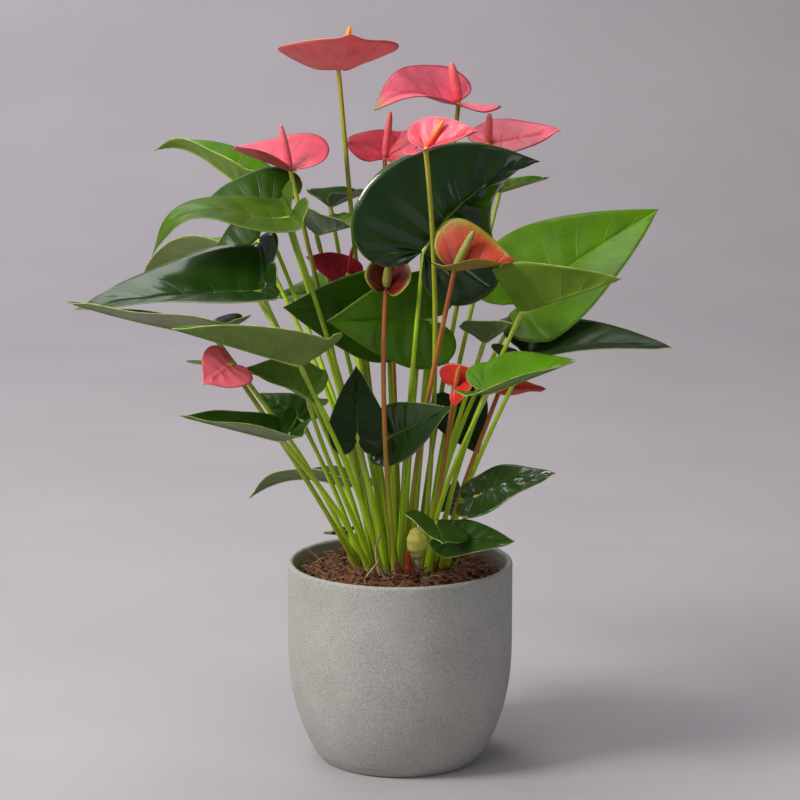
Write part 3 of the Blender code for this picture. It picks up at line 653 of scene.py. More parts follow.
# The leaves, from the left of the front view to the right. A row gives the foot of the stalk on the
# mix, the junction of stalk and blade, the tip, where the upper side looks and the width, then fold
# and lift, each in degrees for the left and the right half. fold raises a half, and lift its lobe
# behind the junction. Of the rest, roll adds to the fold towards the tip, arch and late bow the midrib
# up, and sway bends it towards the left half.
LEAVES = (
    ((-0.018, 0.027), (-0.129, 0.13, 0.469), (-0.217, 0.165, 0.5), (0, 0, 1), 0.08, (36, 26), (20, 20),
     dict(late=0.12, age="fresh", lower="#88a83a")),
    ((-0.0195, 0.016), (-0.1, 0.045, 0.466), (-0.169, 0.055, 0.463), (0, -0.5, 0.87), 0.066, (-5, 30),
     (0, 10), dict(arch=0.05, upper="#33580c")),
    ((-0.014, 0.003), (-0.091, -0.03, 0.464), (-0.2, -0.055, 0.435), (0, -0.05, 1), 0.078, (-8, 14),
     (50, 60), dict(arch=0.03, late=0.2, age="fresh", upper="#47680a", lower="#8c9d62")),
    ((-0.025, 0.021), (-0.122, 0.09, 0.43), (-0.169, 0.105, 0.389), (0.3, -0.6, 0.7), 0.055, (10, 10),
     (28, 28), dict(arch=0.05, bow=0.32, upper="#28480f")),
    ((-0.025, 0.003), (-0.113, -0.05, 0.406), (-0.263, -0.09, 0.396), (0, -0.3, 0.95), 0.096, (16, 28),
     (80, 60),
     dict(roll=(0, -20), arch=0.03, upper="#22440a", prime=True, quilt=1.6, lower=("#5c8230", "#4f7a26"))),
    ((-0.026, 0.033), (-0.146, 0.15, 0.403), (-0.233, 0.19, 0.381), (0, 0, 1), 0.072, (35, 20), (28, 28),
     dict(arch=0.14, age="pale", bow=0.35, lower="#93a565")),
    ((-0.036, -0.006), (-0.149, -0.1, 0.379), (-0.261, -0.125, 0.409), (0, 0, 1), 0.075, (24, 8),
     (28, 28), dict(arch=-0.02, age="pale", upper="#33501a", lower="#98a27c")),
    ((-0.015, -0.026), (-0.078, -0.14, 0.361), (-0.175, -0.17, 0.395), (0, 0, 1), 0.1, (36, 20), (40, 30),
     dict(age="fresh", lower=("#7c9448", "#6d8f38"))),
    ((-0.021, -0.008), (-0.075, -0.06, 0.32), (-0.129, -0.07, 0.345), (0, -0.5, 0.8), 0.064, (38, 15),
     (50, 40), dict(arch=0.06, age="fresh", bend=(-0.007, -0.002), upper="#5a7d24")),
    ((-0.034, 0.011), (-0.082, 0, 0.289), (-0.12, 0.02, 0.309), (0, -0.6, 0.8), 0.04, (10, 10), (28, 28),
     dict(arch=0.05)),
    ((-0.024, -0.024), (-0.093, -0.115, 0.296), (-0.171, -0.16, 0.325), (0, 0, 1), 0.052, (18, 38),
     (60, 60), dict(lower="#8a9b70")),
    ((-0.032, 0.041), (-0.048, 0.075, 0.217), (-0.134, 0.12, 0.196), (0, 0, 1), 0.06, (30, 10), (12, 12),
     dict(arch=0.12, lower="#7b8a5c")),
    ((-0.038, 0.029), (-0.045, 0.036, 0.184), (-0.066, 0.046, 0.182), (0, 0, 1), 0.022, (20, 20),
     (28, 28), dict(thin=0.7)),
    ((-0.012, -0.01), (-0.035, -0.034, 0.282), (-0.036, -0.038, 0.343), (0, -1, 0.1), 0.048, (10, 10),
     (28, 28), dict(upper="#1f3a12")),
    ((-0.004, -0.018), (-0.01, -0.03, 0.281), (0.042, -0.08, 0.316), (0.1, -0.9, 0.4), 0.05, (10, 10),
     (28, 28), dict(upper="#214409", prime=True)),
    ((-0.004, 0.005), (-0.01, 0.018, 0.374), (-0.097, -0.005, 0.386), (0, -0.97, 0.22), 0.078, (10, 10),
     (28, 28), dict(arch=0.05, upper="#40690c")),
    ((0.01, 0.01), (0.025, -0.005, 0.376), (-0.06, -0.04, 0.38), (0, -1, 0.12), 0.082, (10, 10), (28, 28),
     dict(arch=0.05, upper="#4c7a0a")),
    # Leaf 18 sits low in the shade of the leaves above it; its near-black upper colour is painted shade.
    ((0.003, 0.022), (0.017, 0.04, 0.361), (-0.024, 0.034, 0.349), (0, -1, 0.05), 0.062, (5, 5), (0, 0),
     dict(upper="#0e2406")),
    ((-0.001, -0.011), (0.019, -0.05, 0.439), (0.113, -0.035, 0.51), (0, -1, 0.15), 0.134, (5, -8),
     (10, 0), dict(roll=(0, -95), arch=0.06, sway=0.1, upper="#123204", quilt=4.0, wax=0.8, prime=True)),
    ((0.022, 0.029), (0.085, 0.08, 0.473), (0.129, 0.11, 0.482), (0, 0, 1), 0.03, (30, 20), (28, 28),
     dict(age="fresh", lower="#8aa040")),
    ((0.026, 0.012), (0.103, 0.03, 0.385), (0.22, 0.07, 0.459), (-0.2, -0.8, 0.5), 0.112, (5, 20),
     (28, 28), dict(arch=0.05, age="fresh", bow=0.25, bend=(-0.006, 0.003), upper="#5a8806")),
    ((0.032, -0.003), (0.097, -0.09, 0.395), (0.173, -0.13, 0.428), (0, 0.85, 0.5), 0.09, (70, 8),
     (80, 70), dict(age="fresh", bend=(-0.004, 0.004), lower=("#8c9f68", "#76952a"))),
    ((0.036, 0.006), (0.106, -0.005, 0.347), (0.221, -0.05, 0.36), (0, -0.15, 1), 0.074, (25, 6),
     (35, 35), dict(arch=0.04, upper="#22390f", lower="#86976a")),
    ((0.023, -0.015), (0.069, -0.11, 0.333), (0.138, -0.14, 0.365), (0, -0.1, 1), 0.074, (34, 14),
     (28, 28), dict(age="fresh", bow=0.3, lower="#6b8d34")),
    ((0.027, 0.021), (0.047, 0.032, 0.301), (0.067, 0.036, 0.253), (0, -1, 0.1), 0.05, (10, 10), (0, 0),
     dict(upper="#17300c")),
    ((0.038, -0.006), (0.062, -0.052, 0.236), (0.126, -0.08, 0.262), (0, -0.5, 0.86), 0.052, (6, -2),
     (0, 20), dict(arch=0.04, upper="#2a4c10", prime=True, quilt=1.8)),
    ((0.024, -0.028), (0.029, -0.086, 0.222), (0.034, -0.12, 0.213), (0.25, -0.8, 0.55), 0.056, (-12, 14),
     (10, 0), dict(thin=0.9, upper="#34560e")),
    ((0.032, -0.021), (0.042, -0.07, 0.204), (0.092, -0.112, 0.213), (0, -0.75, 0.65), 0.036, (10, 6),
     (28, 28), dict(thin=0.9, upper="#2a4c08")),
    ((-0.01, 0.0245), (-0.06, 0.1, 0.458), (-0.027, 0.16, 0.465), (0, 0, 1), 0.05, (30, 30), (28, 28),
     dict(bend=(-0.001, 0.003), lower="#737c68")),
    ((-0.011, 0.017), (-0.071, 0.06, 0.439), (-0.04, 0.01, 0.452), (0, 0, 1), 0.06, (30, 50), (28, 28),
     dict(age="pale", lower="#6f8060")),
    ((-0.011, 0.0305), (-0.05, 0.105, 0.385), (-0.11, 0.13, 0.375), (0, -0.5, 0.8), 0.06, (10, 10),
     (28, 28), dict(age="pale", lower="#8b9382")),
    ((0.018, 0.004), (0.07, 0, 0.356), (0.092, -0.05, 0.38), (0, 0, 1), 0.05, (45, 40), (28, 28),
     dict(lower="#6f8650")),
    ((0.03, 0.036), (0.04, 0.048, 0.202), (0.05, 0.066, 0.224), (0, -0.8, 0.5), 0.03, (10, 10), (28, 28),
     dict(thin=0.8)),
)
for number, (foot, junction, tip, faces, width, fold, lift, details) in enumerate(LEAVES, 1):
    grow_leaf(f"leaf_{number:02}", foot, junction=junction, tip=tip, faces=faces, width=width, fold=fold,
              lift=lift, **details)


# ---------------------------------------------------------------- flowers
# Each flower is a waxy coloured bract, the spathe, round a fleshy spike, the spadix, that is packed
# with tiny florets in crossing spirals. They share one round stalk, and turn green as they age.

FLOWER_STALK_RADIUS = (0.0022, 0.0019)
FLOWER_STALK_RINGS = 52
SPADIX_NECK = 0.0025
SPADIX_PROFILE = ((0.0, 0.70), (0.06, 0.90), (0.25, 1.0), (0.55, 0.95), (0.85, 0.72), (0.96, 0.45),
                  (1.0, 0.0))
FLORET = 0.0017                 # from one floret to the next, a little coarser than real
FLORET_RISE = 0.00030
SPATHE_THICKNESS = 0.0007
SPATHE_VEINS = 6                # of each half of a spathe
SPATHE_QUILT = 0.0007
SPATHE_FURROW = 0.0006
SPATHE_FURROW_WIDTH = 0.0018

SPATHE_OUTLINE = (
    (-0.10, 0.06), (-0.23, 0.14), (-0.28, 0.27), (-0.20, 0.41), (-0.01, 0.49), (0.23, 0.48),
    (0.46, 0.39), (0.66, 0.27), (0.83, 0.14), (0.94, 0.05), (1.00, 0.0),
)
GREEN_STALK = ((0.0, "#9aa82c"), (0.5, "#98ac1e"), (0.8, "#9a9c2a"), (1.0, "#b8b03c"))
BROWN_STALK = ((0.0, "#8fa828"), (0.30, "#9c8e26"), (0.50, "#b07a30"), (1.0, "#a8562e"))


def mix_colours(first, second, share):
    return tuple(a + (b - a) * share for a, b in zip(first, second))


# The face of a spathe: a lacquer-like wax over puckered flesh, a deeper pink at the margin, and darker in
# the sunk veins and the fine net, partly a deeper pink and partly painted shade in the grooves.
spathe_face, node = new_surface("spathe_face_waxed")
side_veins, midrib, margin, net, place = blade_pattern(node, SPATHE_VEINS, 0.090, 0.040)
tint = node("Attribute", attribute_name="tint_upper").outputs["Color"]
flesh = mottle(node, tint, place, 0.012, 0.86, 1.16)
# Half the flesh's brightness: a deeper pink at the margin, and in the sunk veins and net partly painted
# shade.
deeper_pink_and_groove_shade = node("VectorMath", operation="SCALE", Vector=tint, Scale=0.55)
flesh = overlay(node, flesh, side_veins, 0.40, deeper_pink_and_groove_shade)
flesh = overlay(node, flesh, net, 0.16, deeper_pink_and_groove_shade)
flesh = overlay(node, flesh, margin, 0.55, deeper_pink_and_groove_shade)
pucker = clouds_of(node, place, 0.0065, 2.0, 0.4)
folds = node("Math", operation="MULTIPLY", Value=side_veins, Value_001=-1.0)
relief_map = node("Bump", Strength=0.35, Distance=0.0014, Height=pucker)
relief_map = node("Bump", Strength=0.5, Distance=0.0006, Height=folds, Normal=relief_map)
lacquer = remap(node, pucker, 0.3, 0.7, 0.32, 0.50)
face_shader = node("BsdfPrincipled", Base_Color=flesh, Roughness=lacquer, IOR=1.45, Coat_Weight=0.12,
                   Coat_Roughness=0.2, Specular_IOR_Level=0.35, Normal=relief_map)
end_thin(node, face_shader, flesh, 0.22)

# The back of a spathe: duller and paler than its face, with the veins standing up.
spathe_back, node = new_surface("spathe_back_satin")
side_veins, midrib, margin, net, place = blade_pattern(node, SPATHE_VEINS, 0.110, 0.060)
tint = node("Attribute", attribute_name="tint_lower").outputs["Color"]
flesh = mottle(node, tint, place, 0.014, 0.86, 1.14)
bloom = blend(node, 0.45, tint, "#f0b0a0")
flesh = overlay(node, flesh, side_veins, 0.35, bloom)
flesh = overlay(node, flesh, net, 0.15, bloom)
raised = node("Bump", Strength=0.5, Distance=0.0006, Height=side_veins)
back_shader = node("BsdfPrincipled", Base_Color=flesh, Roughness=0.48, IOR=1.45, Specular_IOR_Level=0.3,
                   Normal=raised)
end_thin(node, back_shader, flesh, 0.35)

# The cut-thin rim of a spathe: a darker line of the same flesh.
spathe_rim, node = new_surface("spathe_rim")
tint = node("Attribute", attribute_name="tint_upper").outputs["Color"]
place = node("TexCoord").outputs["Object"]
rim_flesh = mottle(node, tint, place, 0.008, 0.55, 0.85)
node("OutputMaterial", Surface=node("BsdfPrincipled", Base_Color=rim_flesh, Roughness=0.4, IOR=1.45))

# The spadix: fleshy, with a dry satin surface. Every floret carries its own tint from the mesh.
floret_skin, node = new_surface("spadix_florets")
tint = node("Attribute", attribute_name="tint").outputs["Color"]
place = node("TexCoord").outputs["Object"]
floret_colour = mottle(node, tint, place, 0.0030, 0.85, 1.18)
pollen = clouds_of(node, place, 0.0006, 2.0)
powdery = node("Bump", Strength=0.4, Distance=0.0002, Height=pollen)
node("OutputMaterial", Surface=node("BsdfPrincipled", Base_Color=floret_colour, Roughness=0.5, IOR=1.45,
                                    Subsurface_Weight=0.15, Subsurface_Scale=0.0015, Normal=powdery))


def grow_flower(name, foot, spathe, spadix, stalk=GREEN_STALK, bow=0.12, bend=(0, 0), slot="spathe_pink"):
    """One flower: a stalk, the spadix that ends it, and the spathe round the spadix's foot."""
    junction = Vector(spathe["junction"])
    top = Vector(spadix["tip"])
    spathe = dict(spathe, outline=SPATHE_OUTLINE)
    face = linear(spathe["face"])
    back = linear(spathe["back"])
    rim = linear(spathe.get("rim", spathe["face"]))
    back_rim = linear(spathe.get("back_rim", spathe["back"]))
    rim_width = spathe.get("rim_width", 0.10)
    throat = linear(spathe.get("throat", spathe["face"]))
    tip = linear(spathe.get("point", spathe["face"]))
    lobe_left, lobe_colour = spathe.get("lobe", (True, None))
    quilt = spathe.get("quilt", 1.0)
    wave = spathe.get("wave", 0.0010)
    phase = chance.uniform(0, 2 * pi)

    def relief(across, share, reach, left):
        swell = sin(pi * share * SPATHE_VEINS) ** 2 * across ** 0.5 * (1 - across)
        ripple = across ** 3 * sin(5 * pi * share + phase + (1.5 if left else 0.0))
        fade = min(1.0, (1 - share) / 0.12)
        furrow = exp(-(reach / SPATHE_FURROW_WIDTH) ** 2)
        return fade * (2.2 * SPATHE_QUILT * quilt * swell + wave * ripple - SPATHE_FURROW * furrow)

    def tints(across, share, left, along, out):
        near = exp(-(along ** 2 + out ** 2) / 0.20 ** 2)
        edge = max(0.0, (across - (1 - rim_width)) / rim_width) ** 1.5
        end = max(0.0, (along - 0.86) / 0.14)
        inner = mix_colours(mix_colours(mix_colours(face, throat, near), rim, edge), tip, end)
        outer = mix_colours(back, back_rim, edge)
        if lobe_colour and left == lobe_left:
            turned = max(0.0, min(1.0, (0.24 - share) / 0.08)) * min(1.0, across / 0.3)
            inner = mix_colours(inner, linear(lobe_colour), turned)
            outer = mix_colours(outer, linear(lobe_colour), turned)
        return inner, outer

    bract_body = bend_blade(spathe, SPATHE_VEINS, relief, tints)
    bract = add_piece(name + "_spathe", bract_body, spathe_face, spathe_back, spathe_rim)
    add_thickness(bract, SPATHE_THICKNESS)
    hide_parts(name + "_spathe")

    neck = junction + (top - junction).normalized() * SPADIX_NECK
    route = stalk_route(foot, junction, bow, bend, FLOWER_STALK_RINGS) + [neck]
    stalk_body = bmesh.new()
    low, high = FLOWER_STALK_RADIUS
    grow_strand(
        stalk_body, route, STALK_SIDES,
        lambda share, turn: (low + (high - low) * share) * (1 + 0.35 * exp(-(share / 0.05) ** 2)),
        lambda share, turn: blend_along(stalk, share),
    )
    stem = add_piece(name + "_stalk", stalk_body, stalk_skin)
    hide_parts(name + "_stalk")

    length = (top - neck).length
    radius = spadix["radius"]
    around = max(4, round(2 * pi * radius / FLORET / 2))
    spirals = max(4, round(length / FLORET / 2))

    def floret(share, turn):
        turned, risen = 2 * pi * around * turn, 2 * pi * spirals * share
        return max(0.0, cos(turned + risen) * cos(turned - risen))

    def spadix_girth(share, turn):
        for (before, first), (after, second) in zip(SPADIX_PROFILE, SPADIX_PROFILE[1:]):
            if share <= after:
                part = (share - before) / (after - before)
                fullness = first + (second - first) * (part if after < 1 else part ** 2.5)
                return radius * fullness + FLORET_RISE * floret(share, turn) * fullness
        return 0.0

    def spadix_tint(share, turn):
        flesh = blend_along(spadix["colours"], share)
        return mix_colours(flesh, linear(spadix["florets"]), 0.7 * floret(share, turn))

    spike_body = bmesh.new()
    rings = spirals * 8 + 1
    spike_route = [neck.lerp(top, i / (rings - 1)) for i in range(rings)]
    grow_strand(spike_body, spike_route, around * 8, spadix_girth, spadix_tint)
    spike = add_piece(name + "_spadix", spike_body, floret_skin)
    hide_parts(name + "_stalk")


# The tall pink flowers first, then the small ones and those that turn green with age. A row gives the
# same as a leaf's down to its fold, the colours of face, back and rim, and the rest of the spathe, in
# which cup makes a bowl of it. Then come the spadix's tip, radius, colours from foot to tip and
# florets, and last what is special about the flower.
FLOWERS = (
    ((-0.003, 0.02), (-0.052, 0.08, 0.576), (-0.041, 0.005, 0.61), (0, 0, 1), 0.104, (14, 14),
     ("#e8697a", "#f88a90", "#e0a060"), dict(cup=0.2, back_rim="#dc5060"), (-0.042, 0.085, 0.613), 0.003,
     ((0.0, "#d8863a"), (1.0, "#e8981c")), "#f0b040", dict(bow=-0.2)),
    ((-0.023, 0.01), (-0.091, 0.025, 0.496), (-0.141, 0.062, 0.511), (0.2, -0.6, 0.8), 0.088, (48, 14),
     ("#e4566c", "#d2606c", "#ec7488"), dict(point="#e890a0"), (-0.099, 0.025, 0.535), 0.0032,
     ((0.0, "#d84458"), (1.0, "#e8707c")), "#f29aa0", {}),
    ((0, 0.032), (-0.013, 0.075, 0.501), (0.002, 0.121, 0.521), (-0.1, -0.4, 0.9), 0.072, (25, 25),
     ("#d94a5c", "#cf4c5a", "#a83040"), {}, (-0.008, 0.07, 0.542), 0.0032,
     ((0.0, "#d8404e"), (1.0, "#e46470")), "#f0989c", dict(stalk=BROWN_STALK)),
    ((0.01, 0.019), (0.049, 0.05, 0.55), (-0.021, 0, 0.548), (0.1, -0.4, 0.9), 0.084, (18, 22),
     ("#f87086", "#d27476", "#c83450"),
     dict(late=0.16, point="#8a9a3a", lobe=(True, "#a9ae38"), rim_width=0.07), (0.043, 0.05, 0.584),
     0.0045, ((0.0, "#e03444"), (1.0, "#ea5a64")), "#f6aeb0", {}),
    ((0.017, -0.012), (0.02, -0.105, 0.526), (0.061, -0.12, 0.542), (-0.1, -0.7, 0.7), 0.052, (16, 46),
     ("#f05a70", "#d85060", "#f08090"), dict(lift=(20, 30), throat="#e8606c"), (0.034, -0.107, 0.549),
     0.0022, ((0.0, "#dc2430"), (0.45, "#ee6a30"), (1.0, "#f0b028")), "#f4a860", dict(bend=(0.01, 0))),
    ((0.014, 0.028), (0.075, 0.08, 0.513), (0.136, 0.07, 0.526), (-0.1, -0.5, 0.85), 0.056, (8, 8),
     ("#e25e70", "#d8606e", "#c84458"), {}, (0.076, 0.08, 0.54), 0.0034,
     ((0.0, "#dc4050"), (1.0, "#e8606c")), "#f4a0a4", {}),
    ((-0.006, 0.013), (-0.044, 0.04, 0.406), (-0.079, 0.036, 0.423), (0.1, -0.6, 0.8), 0.04, (10, 8),
     ("#a01828", "#7c1420", "#c03448"), {}, (-0.04, 0.04, 0.431), 0.0018,
     ((0.0, "#b01424"), (0.75, "#a81c28"), (1.0, "#8a9238")), "#c83a48", dict(slot="spathe_red")),
    ((-0.032, -0.016), (-0.134, -0.112, 0.356), (-0.154, -0.135, 0.345), (0.1, 0.9, -0.3), 0.045,
     (0, -12), ("#f26a7c", "#ff7e90", "#f08494"), dict(cup=0.1), (-0.17, -0.098, 0.357), 0.0018,
     ((0.0, "#8a9a3a"), (1.0, "#6a8a30")), "#9aaa50", dict(bow=0.06)),
    ((0.005, -0.006), (0.043, -0.1, 0.43), (0.091, -0.108, 0.438), (0, -0.5, 0.85), 0.082, (42, 46),
     ("#c84a2c", "#a09a3a", "#9aa030"),
     dict(lift=(0, 20), quilt=0.4, wave=0.0016, back_rim="#c88a3a", rim_width=0.30, throat="#5c1014"),
     (0.058, -0.104, 0.462), 0.0036, ((0.0, "#7c8436"), (1.0, "#8c9448")), "#b4b468",
     dict(bow=0.25, stalk=BROWN_STALK, slot="spathe_orange")),
    ((-0.002, -0.033), (-0.0115, -0.035, 0.4055), (-0.003, -0.012, 0.436), (0, -0.9, 0.3), 0.05, (44, 44),
     ("#6c1a1c", "#9aa028", "#a8a238"),
     dict(lift=(20, 20), quilt=0.4, back_rim="#a8a838", rim_width=0.22, throat="#4c0c12"),
     (-0.009, -0.04, 0.428), 0.0038, ((0.0, "#8c8a34"), (1.0, "#9c9442")), "#c4b868",
     dict(bend=(-0.006, -0.012), stalk=BROWN_STALK, slot="spathe_orange")),
    ((0.025, -0.007), (0.045, -0.066, 0.331), (0.063, -0.078, 0.346), (0, -0.85, 0.5), 0.038, (25, 25),
     ("#cc3020", "#c03a30", "#d85a48"), {}, (0.048, -0.08, 0.35), 0.0022,
     ((0.0, "#c86a2c"), (1.0, "#cc7434")), "#dc9450", dict(stalk=BROWN_STALK, slot="spathe_red")),
    ((0.034, 0.016), (0.084, 0.02, 0.312), (0.124, 0.035, 0.31), (0, -0.4, 0.9), 0.032, (20, 20),
     ("#d0442a", "#c84a34", "#d87a58"), {}, (0.09, 0.022, 0.328), 0.002,
     ((0.0, "#b85020"), (1.0, "#c46428")), "#dc8a48", dict(stalk=BROWN_STALK, slot="spathe_red")),
)
for number, (foot, junction, tip, faces, width, fold, (face, back, rim), details, end, radius, flesh,
             florets, special) in enumerate(FLOWERS, 1):
    grow_flower(f"flower_{number:02}", foot,
                dict(junction=junction, tip=tip, faces=faces, width=width, fold=fold, face=face, back=back,
                     rim=rim, **details),
                dict(tip=end, radius=radius, colours=flesh, florets=florets), **special)


# ---------------------------------------------------------------- crown
# What stands on the mix between the stalks: a pale swollen shoot on a thin neck, papery sheaths that
# once wrapped young leaves, and aerial roots that run down into the mix.

SHOOT_FOOT = Vector((0.016, -0.034, MIX_LEVEL - 0.001))
SHOOT_TOP = Vector((0.013, -0.041, MIX_LEVEL + 0.0460))
SHOOT_GIRTHS = ((0.0, 0.0030), (0.12, 0.0022), (0.38, 0.0024), (0.50, 0.0056), (0.64, 0.0086),
                (0.78, 0.0084), (0.92, 0.0056), (1.0, 0.0))
SHOOT_COLOURS = ((0.0, "#8a6450"), (0.25, "#b49a80"), (0.45, "#d2c696"), (0.60, "#d2cc70"),
                 (0.80, "#d4d058"), (1.0, "#d8d474"))


def profile_at(profile, share):
    """The value at that share along the (share, value) profile, eased between its points."""
    for (before, first), (after, second) in zip(profile, profile[1:]):
        if share <= after:
            part = (share - before) / (after - before)
            return first + (second - first) * part * part * (3 - 2 * part)
    return profile[-1][1]


# The shoot's skin is a thin dry film over wet flesh: finely wrinkled, with little shine.
shoot_skin, node = new_surface("shoot_skin_wrinkled")
tint = node("Attribute", attribute_name="tint").outputs["Color"]
place = node("TexCoord").outputs["Object"]
wrinkles = node("Mapping", Vector=place, Scale=(1 / 0.0011, 1 / 0.0011, 1 / 0.0045))
wrinkles = clouds_of(node, wrinkles, 1.0, 4.0, distortion=0.6)
film = mottle(node, tint, place, 0.006, 0.80, 1.20)
level = remap(node, wrinkles, 0.3, 0.7, 0.85, 1.10)
film = node("VectorMath", operation="SCALE", Vector=film, Scale=level)
creases = node("Bump", Strength=0.35, Distance=0.0004, Height=wrinkles)
node("OutputMaterial", Surface=node("BsdfPrincipled", Base_Color=film, Roughness=0.6, IOR=1.45,
                                    Subsurface_Weight=0.12, Subsurface_Scale=0.003, Normal=creases))

shoot_body = bmesh.new()
shoot_route = [SHOOT_FOOT.lerp(SHOOT_TOP, i / 60) for i in range(61)]
grow_strand(
    shoot_body, shoot_route, 32,
    lambda share, turn: profile_at(SHOOT_GIRTHS, share) * (1 + 0.02 * cos(2 * pi * (5 * turn + share))),
    lambda share, turn: blend_along(SHOOT_COLOURS, share),
)
shoot = add_piece("crown_shoot_bulb", shoot_body, shoot_skin)
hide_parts("crown_shoot")


def grow_root(body, points, radius, colours):
    """A wandering root through the points, thinner at its end."""
    points = [Vector(point) for point in points]
    rings = 10 * (len(points) - 1) + 1
    route = []
    for i in range(rings):
        at = Vector(spline_point(points, i / (rings - 1)))
        route.append(at + noise.noise_vector(at / 0.006) * 0.0009)
    grow_strand(body, route, 8, lambda share, turn: radius * (1 - 0.55 * share),
                lambda share, turn: blend_along(colours, share))


ROOT_COLOURS = ((0.0, "#b99a78"), (0.5, "#d6bf9c"), (1.0, "#a98a68"))
PALE_ROOT_COLOURS = ((0.0, "#9c7458"), (1.0, "#c4a484"))
root_body = bmesh.new()
grow_root(root_body, [(-0.015, -0.041, 0.2035), (-0.0195, -0.044, 0.191), (-0.0190, -0.047, 0.179),
                      (-0.0165, -0.050, 0.168), (-0.013, -0.053, 0.158)], 0.0010, ROOT_COLOURS)
grow_root(root_body, [(-0.0175, -0.048, 0.182), (-0.0225, -0.055, 0.175), (-0.0275, -0.058, 0.170),
                      (-0.0290, -0.062, 0.163), (-0.0295, -0.064, 0.156)], 0.0011, ROOT_COLOURS)
grow_root(root_body, [(-0.018, -0.047, 0.176), (-0.012, -0.054, 0.168), (-0.004, -0.058, 0.162),
                      (0.003, -0.060, 0.157)], 0.0008, PALE_ROOT_COLOURS)
grow_root(root_body, [(0.014, -0.037, 0.172), (0.019, -0.045, 0.167), (0.026, -0.052, 0.162),
                      (0.030, -0.056, 0.156)], 0.0008, PALE_ROOT_COLOURS)
grow_root(root_body, [(0.014, -0.036, 0.176), (0.009, -0.044, 0.168), (0.006, -0.050, 0.162),
                      (0.005, -0.054, 0.156)], 0.0009, PALE_ROOT_COLOURS)
grow_root(root_body, [(0.020, -0.048, 0.166), (0.030, -0.050, 0.169), (0.040, -0.050, 0.165),
                      (0.046, -0.049, 0.158)], 0.0006, ROOT_COLOURS)
roots = add_piece("aerial_roots", root_body, bark)
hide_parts("potting_mix")

# A papery sheath: dried leaf base, thin and ribbed, which dries from green to rust.
paper, node = new_surface("papery_sheath")
tint = node("Attribute", attribute_name="tint_upper").outputs["Color"]
place = node("TexCoord").outputs["Object"]
ribs = node("Mapping", Vector=place, Scale=(1 / 0.0008, 1 / 0.0008, 1 / 0.012))
ribs = clouds_of(node, ribs, 1.0, 3.0)
dry = mottle(node, tint, place, 0.005, 0.70, 1.25)
level = remap(node, ribs, 0.3, 0.7, 0.70, 1.15)
dry = node("VectorMath", operation="SCALE", Vector=dry, Scale=level)
ribbed = node("Bump", Strength=0.5, Distance=0.0004, Height=ribs)
paper_shader = node("BsdfPrincipled", Base_Color=dry, Roughness=0.62, Normal=ribbed)
end_thin(node, paper_shader, dry, 0.2)

SHEATH_THICKNESS = 0.0005

# foot, height, radius, the way it faces in degrees (0 is +X), how far it wraps, lean and colours
SHEATHS = (
    ((0.008, -0.038), 0.034, 0.0048, -100, 150, (-0.001, -0.004), "#7a2c12", "#c04a14"),
    ((0.002, -0.036), 0.024, 0.0052, -120, 130, (-0.003, -0.003), "#5c2c1c", "#8a4a30"),
    ((0.031, -0.026), 0.030, 0.0046, -70, 160, (0.004, -0.004), "#6a2418", "#a8321c"),
    ((-0.027, -0.016), 0.028, 0.0050, -110, 150, (-0.003, -0.003), "#7c5a2c", "#a84a20"),
    ((-0.036, -0.004), 0.032, 0.0062, -120, 170, (-0.005, -0.002), "#9a8f50", "#a8b038"),
    ((0.022, 0.030), 0.030, 0.0056, 80, 180, (0.002, 0.004), "#6c4a2c", "#8a8a3c"),
    ((-0.022, 0.034), 0.028, 0.0056, 110, 170, (-0.003, 0.004), "#6c4028", "#94602c"),
    ((0.040, 0.012), 0.026, 0.0050, 10, 170, (0.004, 0.001), "#5c3020", "#a0702c"),
)
sheath_body = bmesh.new()
sheath_tint = sheath_body.verts.layers.float_color.new("tint_upper")
for foot, height, radius, heading, wrap, lean, foot_colour, tip_colour in SHEATHS:
    made = bmesh.ops.create_grid(sheath_body, x_segments=12, y_segments=10, size=1.0)["verts"]
    for vertex in made:
        up = (vertex.co.y + 1) / 2
        across = vertex.co.x * (1 - up ** 2.5)
        angle = radians(heading + across * wrap / 2)
        reach = radius * (1 - 0.25 * up) + 0.0016 * up ** 3
        vertex.co = Vector((foot[0] + cos(angle) * reach + lean[0] * up,
                            foot[1] + sin(angle) * reach + lean[1] * up,
                            MIX_LEVEL - 0.005 + height * up))
        vertex[sheath_tint] = mix_colours(linear(foot_colour), linear(tip_colour), up)
bmesh.ops.remove_doubles(sheath_body, verts=sheath_body.verts, dist=1e-6)
bmesh.ops.reverse_faces(sheath_body, faces=sheath_body.faces)
sheaths = add_piece("leaf_sheaths", sheath_body, paper)
add_thickness(sheaths, SHEATH_THICKNESS)
sheaths.modifiers["thickness"].material_offset = 0
sheaths.modifiers["thickness"].material_offset_rim = 0
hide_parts("crown_shoot")


# ---------------------------------------------------------------- studio
# A seamless pale paper sweep under and behind the pot, one large soft light on the left, a soft one
# overhead, weak fills in front, and an even glow from the room. The sweep rises well behind the
# plant, which leaves room to look at it from the back.

paper_sweep, node = new_surface("pale_paper_sweep")
place = node("TexCoord").outputs["Object"]
tooth = clouds_of(node, place, 0.25, 2.0)
sweep_grey = node("ValToRGB", Fac=tooth, stops=[(0.3, "#a9a5a9"), (0.7, "#aeaaae")])
node("OutputMaterial", Surface=node("BsdfPrincipled", Base_Color=sweep_grey, Roughness=0.9,
                                    Specular_IOR_Level=0.1))

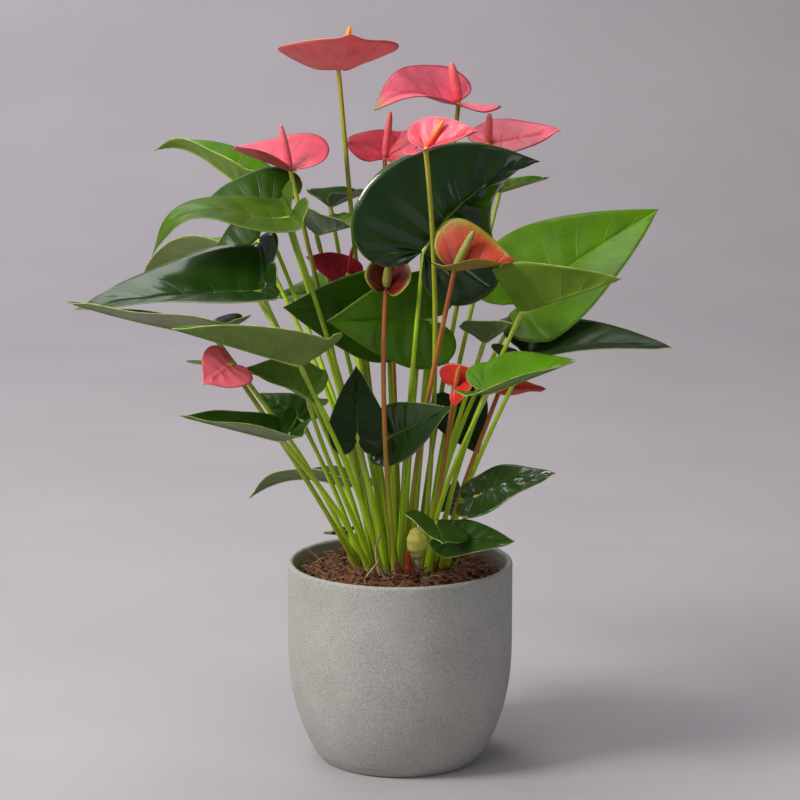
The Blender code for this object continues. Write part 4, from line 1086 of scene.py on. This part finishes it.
SWEEP_FRONT = -3.2
SWEEP_BACK = 3.8
SWEEP_BEND = 1.6
SWEEP_TOP = 4.0
SWEEP_HALF_WIDTH = 4.0
sweep_body = bmesh.new()
sweep_line = [(SWEEP_FRONT, 0.0), (SWEEP_BACK - SWEEP_BEND, 0.0)]
sweep_line += [(SWEEP_BACK - SWEEP_BEND * (1 - sin(radians(a))), SWEEP_BEND * (1 - cos(radians(a))))
               for a in range(6, 91, 6)]
sweep_line += [(SWEEP_BACK, SWEEP_TOP)]
corners = [sweep_body.verts.new((-SWEEP_HALF_WIDTH, y, z - 0.0002)) for y, z in sweep_line]
edges = [sweep_body.edges.new(pair) for pair in zip(corners, corners[1:])]
moved = bmesh.ops.extrude_edge_only(sweep_body, edges=edges)["geom"]
bmesh.ops.translate(sweep_body, verts=[v for v in moved if isinstance(v, bmesh.types.BMVert)],
                    vec=(2 * SWEEP_HALF_WIDTH, 0, 0))
bmesh.ops.recalc_face_normals(sweep_body, faces=sweep_body.faces)
sweep_mesh = bpy.data.meshes.new("paper_sweep")
sweep_body.to_mesh(sweep_mesh)
sweep_body.free()
sweep_mesh.shade_smooth()
sweep_mesh.materials.append(paper_sweep)
sweep = bpy.data.objects.new("paper_sweep", sweep_mesh)
bpy.context.scene.collection.objects.link(sweep)


def add_softbox(name, place, aim, width, height, power, colour):
    light = bpy.data.lights.new(name, "AREA")
    light.shape = "RECTANGLE"
    light.size = width
    light.size_y = height
    light.energy = power
    light.color = linear(colour)[:3]
    box = bpy.data.objects.new(name, light)
    box.location = place
    box.rotation_euler = (Vector(aim) - Vector(place)).to_track_quat("-Z", "Y").to_euler()
    bpy.context.scene.collection.objects.link(box)


add_softbox("key_softbox", (-1.9, -0.9, 1.9), (0, 0, 0.25), 0.8, 0.8, 64.0, "#fffaf4")
add_softbox("left_fill", (-1.5, -2.3, 1.5), (0, 0, 0.45), 1.1, 1.1, 7.0, "#ffffff")
add_softbox("right_fill", (2.0, -1.9, 1.5), (0, 0, 0.35), 1.2, 1.2, 7.0, "#ffffff")
add_softbox("top_softbox", (-0.3, 0.2, 2.2), (0, 0, 0.40), 1.2, 0.9, 14.0, "#ffffff")
add_softbox("back_wash", (-1.0, -1.4, 2.6), (-0.6, 1.7, 0.9), 1.6, 1.0, 11.0, "#fffaff")
add_softbox("far_wash", (-1.2, 2.3, 2.8), (-0.9, 3.3, 0.3), 2.4, 1.6, 50.0, "#fffaff")

room = bpy.data.worlds.new("room_fill")
room.use_nodes = True
room.node_tree.nodes["Background"].inputs["Color"].default_value = linear("#f4f2f6")
room.node_tree.nodes["Background"].inputs["Strength"].default_value = 0.24
bpy.context.scene.world = room
bpy.context.scene.view_settings.view_transform = "Standard"

CAMERA_PLACE = (0.0, -2.2, 0.722)
CAMERA_DOWN = 10.68             # degrees below the horizon
CAMERA_LENS = 120.6
lens = bpy.data.cameras.new("camera")
lens.lens = CAMERA_LENS
lens.sensor_width = 36.0
camera = bpy.data.objects.new("camera", lens)
camera.location = CAMERA_PLACE
camera.rotation_euler = (radians(90 - CAMERA_DOWN), 0, 0)
bpy.context.scene.collection.objects.link(camera)
bpy.context.scene.camera = camera
